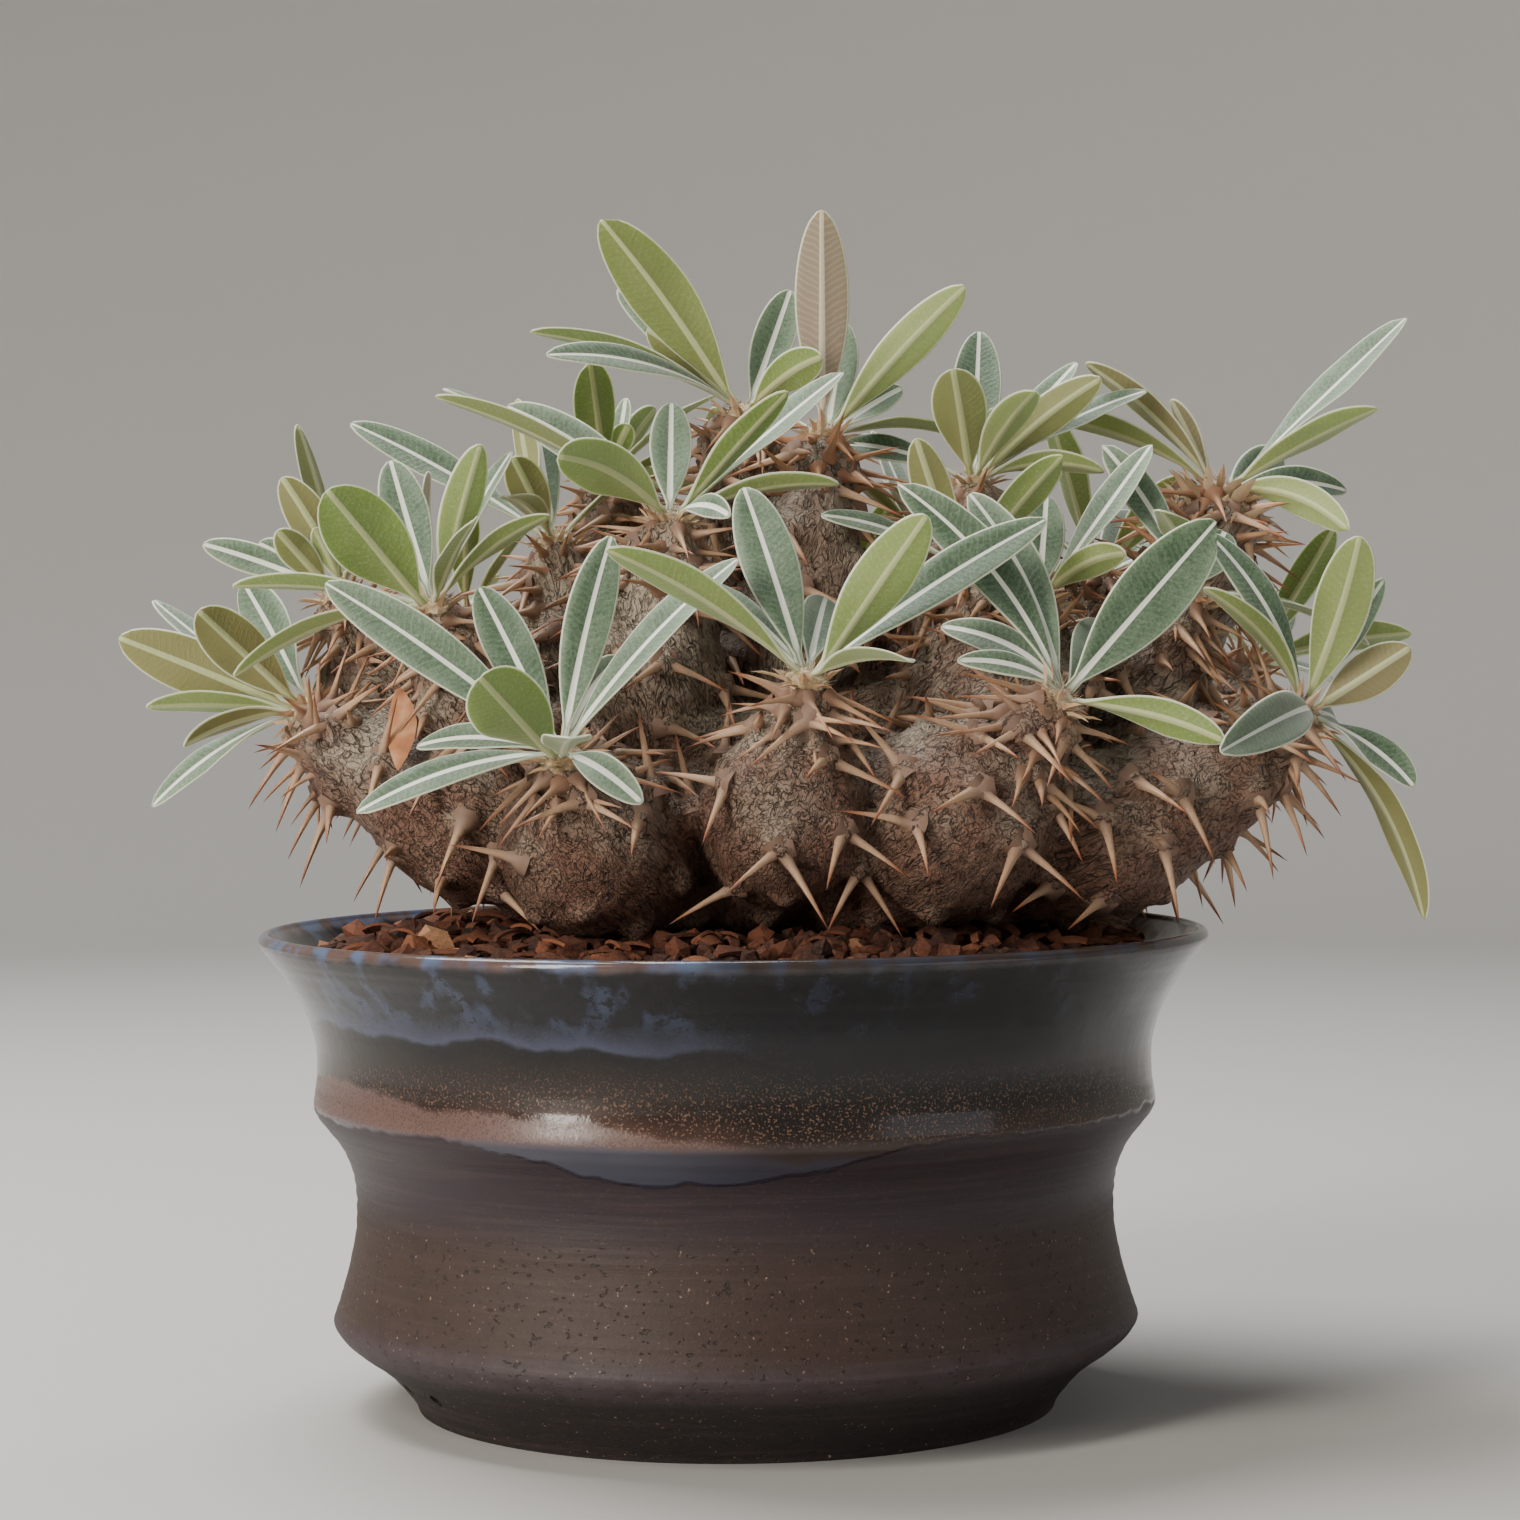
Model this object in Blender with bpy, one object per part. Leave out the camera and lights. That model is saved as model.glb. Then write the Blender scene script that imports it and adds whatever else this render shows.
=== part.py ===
"""A caudex plant in a hand-thrown stoneware pot: pot, soil, caudex with its spines, and heads of leaves.

Metres, +Z up. The parts are made about the pot's axis and then moved together, so that the origin
is the middle of the whole plant's footprint, on the surface the pot stands on.
The plant is laid out as it is seen from the front. A place is given in millimetres, as how far
across and how far up it is seen in the upright plane through the pot's axis, and how deep it lies
behind that plane, so that a place keeps where it is seen when its depth is changed.
"""

import math
import random
from collections import namedtuple

import bmesh
import bpy
from mathutils import Matrix, Vector, noise
from mathutils.bvhtree import BVHTree

MM = 0.001
EYE = Vector((5.0, -696.0, 135.0)) * MM
UP = Vector((0, 0, 1))

# Pot, in millimetres
RIM_RADIUS = 89.0
RIM_HEIGHT = 89.3
FOOT_RADIUS = 60.0
FOOT_RING_WIDTH = 9.0
FOOT_RECESS = 2.5
FLOOR_TOP = 8.0
DRAIN_RADIUS = 8.0
TURNED_SIDES = 32
OUTER_PROFILE = (
    (61.2, 2.4), (66.2, 8.0), (73.0, 13.0), (75.6, 16.3), (75.0, 19.0), (73.2, 25.0),
    (71.4, 34.0), (71.6, 43.0), (74.0, 49.5), (78.2, 55.0), (79.1, 57.4), (78.5, 62.0),
    (78.6, 68.5), (80.6, 75.0), (84.0, 80.6), (87.2, 84.8),
)
INNER_PROFILE = (
    (86.4, 88.2), (82.5, 84.5), (78.0, 79.0), (73.0, 66.0), (72.6, 56.0), (66.2, 44.0), (67.5, 20.0),
    (61.0, 10.0),
)
TIE_HOLES = (math.radians(-157), math.radians(-146))
TIE_HOLE_PLACE = (65.0, 6.6)
TIE_HOLE_RADIUS = 1.5
TIE_HOLE_DEPTH = 5.0

# Soil, in millimetres
CLEARANCE = 0.3
SOIL_AT_WALL = 84.0
SOIL_DOME = ((70.0, 86.2), (57.0, 88.0), (44.0, 89.3), (32.0, 90.0))
SOIL_ROUGHNESS = 0.7
PLUG_RADIUS = 26.0
PLUG_BOTTOM = 70.0
PLUG_TOP = 96.0

# Caudex, in millimetres
VOXEL = 2.2
BODY_FACES = 2700
HEART = ((0, 2, 108, 31), (30, -4, 114, 24), (-30, 0, 112, 22), (8, 28, 112, 25), (2, -22, 110, 22),
         (52, 4, 118, 18), (-2, 6, 132, 19), (28, 8, 134, 17), (-18, 40, 110, 18), (40, 36, 114, 19))
CROWN_RADIUS = 3.4
CROWN_SINK = 3.0
CROWN_RISE = 3.4

# Spines, in millimetres
TUBERCLE_SPACING = 14.0
GOLDEN_ANGLE = math.radians(137.508)
SPINE_LENGTH = 14.0
SPINE_RADIUS = 1.35
SPINE_SPLAY = math.radians(48)
SPINE_ROOT = 3.0
SPINE_DROOP = 0.3

# Leaves, in millimetres
BLADE_STATIONS = (0.24, 0.56, 0.86)
BLADE_ROOT = 3.6
BLADE_THICKNESS = 1.1
BLADE_FOLD = math.radians(13)
PETIOLE_SHARE = 0.17
ARCH = 0.16

Limb = namedtuple("Limb", "knees crown neck")
Tip = namedtuple("Tip", "across up depth width side")

# A knee is (across, up, depth, radius); a crown, where the leaves sit, is (across, up, depth).
LIMBS = {
    "front_left": Limb([(-27, 104.5, -43, 17)], (-32, 121, -56), 6.6),
    "front_middle": Limb([(10.5, 109.5, -45, 16)], (14, 135, -51), 6.6),
    "front_right": Limb([(40, 108, -39, 18.5)], (61.5, 131, -46), 6.8),
    "right": Limb([(70, 106, -27, 16), (91, 117, -24, 12)], (107, 128, -20), 7.2),
    "far_left": Limb([(-49.5, 109, -23, 14.5), (-71, 121, -18, 10)], (-80, 130, -12), 6.6),
    "left": Limb([(-47, 126, -22, 12.5)], (-56, 149, -28), 6.6),
    "middle_left": Limb([(-15, 134, -20, 14), (-13, 152, -21, 8.5)], (-11.5, 165, -20), 6.8),
    "top_left": Limb([(-1, 155, 6, 11)], (2.5, 185, 5), 6.8),
    "top_right": Limb([(13, 143, -8, 13), (15, 162, -8, 10)], (17.5, 180.5, -2), 7.0),
    "centre_right": Limb([(46, 150, 2, 12)], (45.5, 171.5, 5), 6.8),
    "right_inner": Limb([(44, 132, -14, 12)], (44, 155, -12), 6.2),
    "right_low": Limb([(57, 132, -20, 12)], (57.5, 149, -15), 6.4),
    "right_mid": Limb([(76, 132, -8, 12)], (86.5, 150.5, -10), 6.4),
    "right_high": Limb([(80, 140, 10, 12), (87, 153, 12, 10.5)], (92, 169.5, 15), 8.6),
    "left_behind": Limb([(-61, 128, 6, 12)], (-73.5, 152, 2), 6.4),
    "left_inner": Limb([(-30, 138, 6, 13)], (-33, 161, 8), 6.6),
    "back_left_high": Limb([(-20, 146, 28, 13)], (-23.5, 173, 30), 6.6),
    "back_high": Limb([(4, 138, 44, 15)], (3, 166, 47), 6.8),
    "back_right_high": Limb([(34, 134, 42, 14)], (36, 160, 44), 6.6),
    "back_right": Limb([(62, 128, 38, 15)], (69, 154, 46), 6.6),
    "back_left": Limb([(-42, 122, 38, 15)], (-50, 147, 46), 6.6),
    "back_middle": Limb([(12, 109, 58, 17)], (16, 141, 74), 6.8),
    "back_low_left": Limb([(-22, 107, 55, 16)], (-28, 134, 70), 6.8),
    "back_low_right": Limb([(48, 107.5, 55, 16)], (54, 135, 72), 6.8),
    "far_right_back": Limb([(80, 112, 32, 14)], (98, 138, 42), 6.6),
}

# The leaves that show from the front: where the tip is seen, how far it lies behind the crown, the
# width that shows and the side that shows.
UPPER, UNDER = 1, -1
SEEN_LEAVES = {
    "front_left": [
        Tip(-47.5, 136.5, -27, 13, UNDER), Tip(-76.5, 154.5, 8, 8.8, UPPER),
        Tip(-47.5, 153.5, 14, 8.8, UPPER), Tip(-22.5, 163, 8, 8.5, UPPER),
        Tip(1.5, 158.5, 5, 5.5, UPPER), Tip(-20.5, 140, 16, 6, UPPER),
        Tip(-71, 111, -8, 5.2, UPPER), Tip(-17, 112.5, -14, 6, UPPER), Tip(-59.5, 123.5, 8, 4, UPPER),
    ],
    "front_middle": [
        Tip(2.5, 172, 12, 10.2, UPPER), Tip(-23.5, 160.5, -8, 5.8, UNDER),
        Tip(37, 166.5, -14, 10.2, UNDER), Tip(59.5, 165.5, 6, 7.8, UPPER),
    ],
    "front_right": [
        Tip(31.5, 172.5, 10, 8.6, UPPER), Tip(45, 170.5, 14, 8.6, UPPER), Tip(91.5, 165, 4, 12.6, UPPER),
        Tip(39.5, 145.5, 16, 6, UPPER), Tip(42.5, 139, -4, 4.2, UPPER), Tip(93, 123.5, -12, 6.8, UNDER),
    ],
    "right": [
        Tip(89.5, 163, 8, 7.5, UPPER), Tip(89, 152.5, -6, 4.2, UNDER), Tip(118.5, 162, -12, 10.2, UNDER),
        Tip(123, 154, 4, 6, UPPER), Tip(128, 141, -2, 8.8, UNDER), Tip(128.5, 114.5, -8, 7.5, UPPER),
        Tip(130.5, 89.5, -2, 5.4, UNDER), Tip(92, 121.5, -45, 9.2, UPPER), Tip(83, 125.5, 4, 4, UPPER),
    ],
    "right_high": [
        Tip(127.5, 203, -2, 5.6, UPPER), Tip(67, 195, -6, 4.8, UNDER), Tip(83, 188, 4, 3.6, UNDER),
        Tip(104, 177, 18, 8, UPPER), Tip(116, 170.5, 20, 4.5, UPPER), Tip(116.5, 163, -20, 7, UNDER),
        Tip(48.5, 186, -4, 4.5, UNDER),
    ],
    "centre_right": [
        Tip(47, 201, 14, 9.5, UPPER), Tip(42, 194, -14, 10.4, UNDER), Tip(70, 192, -8, 7.5, UNDER),
        Tip(78.5, 189.5, 2, 4, UPPER), Tip(65.5, 195, 12, 4.5, UPPER), Tip(70.5, 174.5, -4, 4.2, UNDER),
        Tip(20, 180, 4, 5, UPPER),
    ],
    "right_inner": [Tip(35, 181, -6, 7.5, UNDER), Tip(17, 166.5, 2, 3.5, UPPER)],
    "right_low": [
        Tip(79.5, 179.5, 8, 5.5, UPPER), Tip(74.5, 159, -16, 6, UNDER), Tip(59.5, 170, 14, 8, UPPER),
    ],
    "right_mid": [Tip(70, 179.5, 6, 6.6, UPPER), Tip(93, 163, 10, 8, UPPER)],
    "top_right": [
        Tip(17.5, 224, -8, 10.2, UNDER), Tip(44.5, 209.5, -8, 8.3, UNDER), Tip(21.5, 203, 12, 8, UPPER),
        Tip(32.5, 190.5, 12, 5, UPPER),
    ],
    "top_left": [
        Tip(-24, 222.5, -12, 12, UNDER), Tip(-21, 209.5, 10, 7, UPPER), Tip(-15.5, 202, -3, 8, UNDER),
        Tip(-37.5, 201.5, -2, 3.5, UNDER), Tip(-34.5, 197, -7, 4.2, UPPER),
        Tip(17.5, 196.5, -18, 7.5, UNDER),
        Tip(11.5, 209, 10, 8, UPPER),
    ],
    "middle_left": [
        Tip(-32.5, 178, -20, 10, UNDER), Tip(-11, 188, 16, 8, UPPER), Tip(11, 190, -10, 5.2, UNDER),
        Tip(21.5, 193.5, 2, 4.8, UPPER), Tip(-55.5, 189.5, 2, 3.4, UNDER), Tip(-42, 187.5, 8, 7.5, UPPER),
        Tip(20.5, 172.5, -4, 3.6, UNDER), Tip(0, 166.5, -14, 3.5, UPPER),
    ],
    "left": [
        Tip(-76, 172, -18, 13.8, UNDER), Tip(-64, 177.5, 12, 8.8, UPPER), Tip(-47, 180.5, -8, 7.5, UNDER),
        Tip(-41, 179, 3, 3.4, UPPER), Tip(-34, 167, -8, 3.6, UNDER), Tip(-56.5, 175, 12, 5, UNDER),
        Tip(-94, 154, -2, 3.2, UNDER), Tip(-94, 137, -8, 3.2, UNDER),
    ],
    "far_left": [
        Tip(-100.5, 149.5, -14, 10.2, UNDER), Tip(-115.5, 144.5, -2, 10.5, UNDER),
        Tip(-110.5, 131.5, -8, 4, UNDER), Tip(-103.5, 124, -12, 3.2, UNDER),
        Tip(-109.5, 112.5, 2, 4.4, UPPER), Tip(-109, 151.5, 12, 5, UPPER), Tip(-92, 155, 14, 10, UPPER),
    ],
    "left_behind": [
        Tip(-99.5, 162, 4, 5.8, UPPER), Tip(-89, 162, 12, 6, UPPER), Tip(-85.5, 164.5, -10, 6.4, UNDER),
        Tip(-84.5, 174.5, -4, 8, UNDER), Tip(-78.5, 165, -8, 4, UNDER), Tip(-81.5, 184.5, 4, 7.8, UNDER),
    ],
    "left_inner": [
        Tip(-71.5, 184.5, 4, 6.5, UPPER), Tip(-41, 178, -12, 7.6, UNDER), Tip(-40, 189, 4, 6, UNDER),
        Tip(-37, 188, 14, 6, UPPER),
    ],
    "back_left_high": [
        Tip(-19.5, 189, 4, 3.5, UPPER), Tip(-19, 184, -7, 5, UNDER), Tip(-14, 187, 10, 6, UNDER),
    ],
}
# How many more leaves each head has, on the side that the leaves above leave free.
MORE_LEAVES = {
    "front_left": 1, "front_middle": 3, "front_right": 2, "right": 1, "right_high": 1,
    "centre_right": 1, "right_inner": 3, "right_low": 3, "right_mid": 4, "top_right": 3,
    "top_left": 1, "middle_left": 0, "left": 1, "far_left": 1, "left_behind": 1,
    "left_inner": 2, "back_left_high": 4, "back_high": 7, "back_right_high": 7,
    "back_right": 7, "back_left": 7, "back_middle": 8, "back_low_left": 8,
    "back_low_right": 8, "far_right_back": 8,
}
MORE_LENGTH = (27.0, 37.0)
MORE_WIDTH = (6.5, 9.5)
MORE_LEAN = (math.radians(38), math.radians(80))
DEPTH_SHIFTS = (0, 3, -3, 6, -6, 9, -9, 13, -13, 17, -17)
LEAF_GAP = 0.5
ROLL_LIMIT = math.radians(75)

COLOURS = {
    "pot": ((0.075, 0.055, 0.058), 0.42),
    "soil": ((0.23, 0.10, 0.05), 0.95),
    "caudex": ((0.33, 0.24, 0.18), 0.85),
    "leaf": ((0.24, 0.34, 0.17), 0.7),
}


# Places and meshes

def seen(across, up, depth):
    """The point that lies depth behind the axis plane, seen from the front at (across, up)."""
    on_plane = Vector((across * MM, 0.0, up * MM))
    return EYE + (on_plane - EYE) * (1 + depth * MM / -EYE.y)


def mesh_object(name, verts, faces):
    mesh = bpy.data.meshes.new(name)
    mesh.from_pydata(verts, [], faces)
    made = bpy.data.objects.new(name, mesh)
    bpy.context.scene.collection.objects.link(made)
    return made


def outward(obj):
    """Turns every face of a closed mesh to point out."""
    shell = bmesh.new()
    shell.from_mesh(obj.data)
    bmesh.ops.recalc_face_normals(shell, faces=shell.faces)
    shell.to_mesh(obj.data)
    shell.free()
    return obj


def bake(obj):
    """Replaces the object's mesh by what its modifiers make of it."""
    graph = bpy.context.evaluated_depsgraph_get()
    graph.update()
    made = bpy.data.meshes.new_from_object(obj.evaluated_get(graph))
    old = obj.data
    obj.modifiers.clear()
    obj.data = made
    bpy.data.meshes.remove(old)
    return obj


def boolean(obj, others, operation):
    """Joins or cuts the object with all the others at once, and removes them."""
    group = bpy.data.collections.new("operands")
    bpy.context.scene.collection.children.link(group)
    for other in others:
        bpy.context.scene.collection.objects.unlink(other)
        group.objects.link(other)
    step = obj.modifiers.new(operation.lower(), "BOOLEAN")
    step.operation = operation
    step.operand_type = "COLLECTION"
    step.collection = group
    step.solver = "MANIFOLD"
    bake(obj)
    for other in others:
        bpy.data.objects.remove(other)
    bpy.data.collections.remove(group)
    return obj


def keep_largest(obj):
    """Drops any loose scrap that a cut or a join has left beside the main body."""
    shell = bmesh.new()
    shell.from_mesh(obj.data)
    left = set(shell.verts)
    islands = []
    while left:
        front = [left.pop()]
        island = set(front)
        while front:
            for edge in front.pop().link_edges:
                for vert in edge.verts:
                    if vert in left:
                        left.remove(vert)
                        island.add(vert)
                        front.append(vert)
        islands.append(island)
    largest = max(islands, key=len)
    loose = [vert for vert in shell.verts if vert not in largest]
    bmesh.ops.delete(shell, geom=loose, context="VERTS")
    shell.to_mesh(obj.data)
    shell.free()
    return obj


def turned(name, profile, sides, capped=False):
    """A body turned about +Z from an outline of (radius, height) in millimetres.

    The outline is a closed loop, or with capped its two ends are closed by flat discs.
    """
    verts, faces = [], []
    count = len(profile)
    for side in range(sides):
        angle = 2 * math.pi * side / sides
        for radius, height in profile:
            verts.append((radius * MM * math.cos(angle), radius * MM * math.sin(angle), height * MM))
    for side in range(sides):
        here, there = side * count, (side + 1) % sides * count
        for step in range(count - 1 if capped else count):
            after = (step + 1) % count
            faces.append((here + step, there + step, there + after, here + after))
    if capped:
        faces += [tuple(side * count + end for side in range(sides)) for end in (0, count - 1)]
    return outward(mesh_object(name, verts, faces))


def prism_shape(foot, axis, radius, bottom, top, sides):
    """(verts, faces) of a prism about the axis through foot, with its sizes in millimetres."""
    side = axis.orthogonal().normalized()
    ring = [Matrix.Rotation(2 * math.pi * k / sides, 3, axis) @ side * radius * MM for k in range(sides)]
    verts = [foot + axis * height * MM + spoke for height in (bottom, top) for spoke in ring]
    faces = [tuple(range(sides)), tuple(range(sides, 2 * sides))]
    faces += [(k, (k + 1) % sides, sides + (k + 1) % sides, sides + k) for k in range(sides)]
    return verts, faces


def prism(name, *shape):
    return outward(mesh_object(name, *prism_shape(*shape)))


def finish(obj, look):
    """Gives the object its material and smooth shading, with its creases kept sharp."""
    colour, roughness = COLOURS[look]
    material = bpy.data.materials.get(look) or bpy.data.materials.new(look)
    material.use_nodes = True
    shader = material.node_tree.nodes["Principled BSDF"]
    shader.inputs["Base Color"].default_value = (*colour, 1.0)
    shader.inputs["Roughness"].default_value = roughness
    obj.data.materials.clear()
    obj.data.materials.append(material)
    obj.data.shade_smooth()
    obj.data.set_sharp_from_angle(angle=math.radians(40))
    return obj


# Pot and soil

def make_pot():
    """The thrown pot: flared rim over two ridges, a foot ring, one drain hole and two blind tie holes."""
    ring_inside = FOOT_RADIUS - FOOT_RING_WIDTH
    outline = [(FOOT_RADIUS, 0.0), *OUTER_PROFILE, (RIM_RADIUS, RIM_HEIGHT - 2.0)]
    outline += [(RIM_RADIUS - 0.8, RIM_HEIGHT), *INNER_PROFILE, (48.0, FLOOR_TOP)]
    outline.append((DRAIN_RADIUS, FLOOR_TOP))
    outline += [(DRAIN_RADIUS, FOOT_RECESS), (ring_inside - 1.5, FOOT_RECESS), (ring_inside, 0.0)]
    pot = turned("pot", outline, TURNED_SIDES)
    holes = []
    for angle in TIE_HOLES:
        radius, height = TIE_HOLE_PLACE
        mouth = Vector((radius * math.cos(angle), radius * math.sin(angle), height)) * MM
        bore = Vector((math.cos(angle), math.sin(angle), -0.8)).normalized()
        holes.append(prism("hole", mouth, bore, TIE_HOLE_RADIUS, -TIE_HOLE_DEPTH, 4.0, 8))
    return finish(boolean(pot, holes, "DIFFERENCE"), "pot")


def soil_height(radius):
    """How high the soil stands at this radius, in millimetres, before its roughness."""
    known = [(INNER_PROFILE[1][0], SOIL_AT_WALL), *SOIL_DOME, (0.0, SOIL_DOME[-1][1])]
    for (outer, low), (inner, high) in zip(known, known[1:]):
        if radius >= inner:
            return low + (high - low) * min(1.0, (outer - radius) / (outer - inner))
    return known[-1][1]


def make_soil():
    """The potting mix: fills the pot to just under its rim, and is heaped up round the caudex's root."""
    inside = reversed(INNER_PROFILE[2:])
    wall = [(radius - CLEARANCE * 1.3, height + CLEARANCE) for radius, height in inside]
    at_wall = INNER_PROFILE[1][0] - 0.4 - CLEARANCE * 1.3
    pit = PLUG_RADIUS + CLEARANCE
    outline = [(48.0, FLOOR_TOP + CLEARANCE), *wall, (at_wall, SOIL_AT_WALL), *SOIL_DOME]
    outline += [(pit, soil_height(pit)), (pit, PLUG_BOTTOM - CLEARANCE)]
    soil = turned("soil", outline, TURNED_SIDES, capped=True)
    for vert in soil.data.vertices:
        radius = math.hypot(vert.co.x, vert.co.y) / MM
        if vert.co.z / MM > SOIL_AT_WALL + 1.0 and radius > pit + 1.0:
            vert.co.z += SOIL_ROUGHNESS * MM * noise.noise(vert.co * 90)
    return finish(soil, "soil")


# Caudex

def limb_path(name):
    """[(centre, radius)] from the heart of the caudex along one limb to its crown, closely spaced."""
    limb = LIMBS[name]
    knees = [(seen(*knee[:3]), knee[3]) for knee in limb.knees]
    crown = seen(*limb.crown)
    first = knees[0][0]
    root = Vector((first.x * 0.4, first.y * 0.4, 104 * MM))
    axis = (crown - knees[-1][0]).normalized()
    marks = [(root, knees[0][1]), *knees, (crown - axis * limb.neck * 1.5 * MM, limb.neck * 1.12)]
    marks.append((crown - axis * limb.neck * 0.7 * MM, limb.neck))
    path = []
    for (start, r0), (end, r1) in zip(marks, marks[1:]):
        steps = max(2, round((end - start).length / (2.5 * MM)))
        for step in range(steps):
            share = step / steps
            ease = share * share * (3 - 2 * share)
            path.append((start.lerp(end, share), (r0 + (r1 - r0) * ease) * MM))
    path.append((marks[-1][0], marks[-1][1] * MM))
    return path


def crown_frame(name):
    """(place, axis) of the crown at the end of a limb."""
    limb = LIMBS[name]
    crown = seen(*limb.crown)
    return crown, (crown - seen(*limb.knees[-1][:3])).normalized()


def heart_balls():
    return [(Vector((x, y, z)) * MM, radius * MM) for x, y, z, radius in HEART]


def soil_cutter():
    """What the body may not enter: the soil outside the pit and the rim, with their clearance."""
    reach = PLUG_RADIUS - 1.0
    known = [(reach, soil_height(reach)), *SOIL_DOME[2::-2], (78.0, 86.5), (96.0, RIM_HEIGHT)]
    raised = [(radius, height + SOIL_ROUGHNESS + CLEARANCE) for radius, height in known]
    return turned("soil_cutter", [(96.0, 60.0), (reach, 60.0), *raised], TURNED_SIDES // 2)


def make_body(paths):
    """The caudex without its spines and root: swollen limbs that run together in the middle."""
    shell = bmesh.new()
    for centre, radius in [*heart_balls(), *(place for path in paths.values() for place in path)]:
        at = Matrix.Translation(centre)
        bmesh.ops.create_icosphere(shell, subdivisions=2, radius=radius, matrix=at)
    mesh = bpy.data.meshes.new("caudex")
    shell.to_mesh(mesh)
    shell.free()
    body = bpy.data.objects.new("caudex", mesh)
    bpy.context.scene.collection.objects.link(body)
    skin = body.modifiers.new("skin", "REMESH")
    skin.mode = "VOXEL"
    skin.voxel_size = VOXEL * MM
    soften = body.modifiers.new("soften", "SMOOTH")
    soften.factor = 0.5
    soften.iterations = 4
    bake(body)
    thin = body.modifiers.new("thin", "DECIMATE")
    thin.ratio = BODY_FACES / (2 * len(body.data.polygons))
    bake(body)
    boolean(body, [soil_cutter()], "DIFFERENCE")
    width = CROWN_RADIUS + CLEARANCE / math.cos(math.pi / 6)
    places = [crown_frame(name) for name in LIMBS]
    sockets = [prism("socket", *place, width, -CROWN_SINK - CLEARANCE, 9.0, 6) for place in places]
    return keep_largest(boolean(body, sockets, "DIFFERENCE"))


def tubercles(paths, skin, spacing):
    """[(foot, outward, along)] of the tubercles, at least spacing apart, on the skin of the body."""
    draw = random.Random(11)
    spots = []
    for path in paths.values():
        for (centre, radius), (after, _) in zip(path, path[1:]):
            along = (after - centre).normalized()
            area = 2 * math.pi * radius * (after - centre).length / MM**2
            for _ in range(max(1, round(area / 14))):
                side = Vector([draw.gauss(0, 1) for _ in range(3)]).normalized()
                spots.append((centre + (after - centre) * draw.random() + side * radius, side, along))
    draw.shuffle(spots)
    crowns = [crown_frame(name)[0] for name in LIMBS]
    found = []
    for spot, side, along in spots:
        foot, normal, _, distance = skin.find_nearest(spot)
        outside = distance < 2.2 * MM and normal.dot(side) > 0.5
        high = foot.z > (soil_height(math.hypot(foot.x, foot.y) / MM) + 3.0) * MM
        beside_crown = all((foot - crown).length > (CROWN_RADIUS + 2.6) * MM for crown in crowns)
        apart = all((foot - other).length > spacing * MM for other, _, _ in found)
        if outside and high and beside_crown and apart:
            found.append((foot, normal, along))
    return found


def spine_aim(foot, side, along, hand):
    """(direction, length) of one of the two spines on a tubercle."""
    across = side.cross(along + UP * 0.5).normalized()
    across.rotate(Matrix.Rotation(1.4 * noise.noise(foot * 150), 3, side))
    aim = side * math.cos(SPINE_SPLAY) + across * math.sin(SPINE_SPLAY) * hand
    aim = (aim - along * 0.12 + Vector((0, 0, -SPINE_DROOP))).normalized()
    wobble = noise.noise(foot * 400 + Vector((hand, 0, 0)))
    return aim, SPINE_LENGTH * (1 + 0.28 * wobble) * MM


def spine_faces(foot, aim, length, grow=0.0):
    """(verts, faces) of a three-sided spike with its root sunk in the body."""
    side = aim.orthogonal().normalized()
    root = foot - aim * SPINE_ROOT * MM
    thick = SPINE_RADIUS * MM * 1.25 + grow
    verts = [root + Matrix.Rotation(2 * math.pi * k / 3, 3, aim) @ side * thick for k in range(3)]
    verts.append(foot + aim * (length + grow))
    return verts, [(0, 1, 2), (0, 1, 3), (1, 2, 3), (2, 0, 3)]


def spine_clear(foot, aim, length, skin, blades):
    """Whether a spine stands free: of the other limbs, the leaves, the soil and the pot's rim."""
    start = foot + aim * 1.5 * MM
    if skin.ray_cast(start, aim, length + 1.0 * MM)[0] is not None:
        return False
    tip = foot + aim * length
    from_axis = math.hypot(tip.x, tip.y) / MM
    floor = RIM_HEIGHT + 1.5 if 60 < from_axis < RIM_RADIUS + 3 else soil_height(from_axis) + 1.5
    if from_axis < RIM_RADIUS + 3 and tip.z < floor * MM:
        return False
    own = tree_of(*spine_faces(foot, aim, length, 0.5 * MM))
    return not any(own.overlap(blade_tree) for blade_tree in blades)


# Leaves

def blade_width(share):
    """Width of the blade at this share of its length, against its widest."""
    if not 0 < share < 1:
        return PETIOLE_SHARE * (1 - share)
    swell = math.sin(math.pi * share**1.3) ** (0.5 + 0.35 * (1 - share) ** 2)
    return max(PETIOLE_SHARE * (1 - share), swell)


def blade_line(crown, axis, tip, share):
    """(place, tangent) on the midrib, which springs from the crown's flank and bends over to the tip."""
    reach = tip - crown
    steep = reach.normalized().dot(axis)
    out = (reach - axis * reach.dot(axis)).normalized()
    root = crown + axis * (1.9 + 0.8 * steep) * MM + out * 2.0 * MM
    bend = root + reach * 0.45 + axis * reach.length * ARCH * (1 - max(0.0, steep))
    place = root * (1 - share) ** 2 + bend * 2 * share * (1 - share) + tip * share**2
    tangent = (bend - root) * (1 - share) + (tip - bend) * share
    return place, tangent.normalized()


def upper_side(crown, axis, tip, share, roll):
    """Where the upper face of the leaf looks: towards the crown's axis, then rolled about the midrib."""
    out = (tip - crown) - axis * (tip - crown).dot(axis)
    _, tangent = blade_line(crown, axis, tip, share)
    inward = axis - out.normalized() * 0.45
    over = (inward - tangent * inward.dot(tangent)).normalized()
    over.rotate(Matrix.Rotation(roll * min(1.0, 0.4 + share), 3, tangent))
    return over


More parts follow.
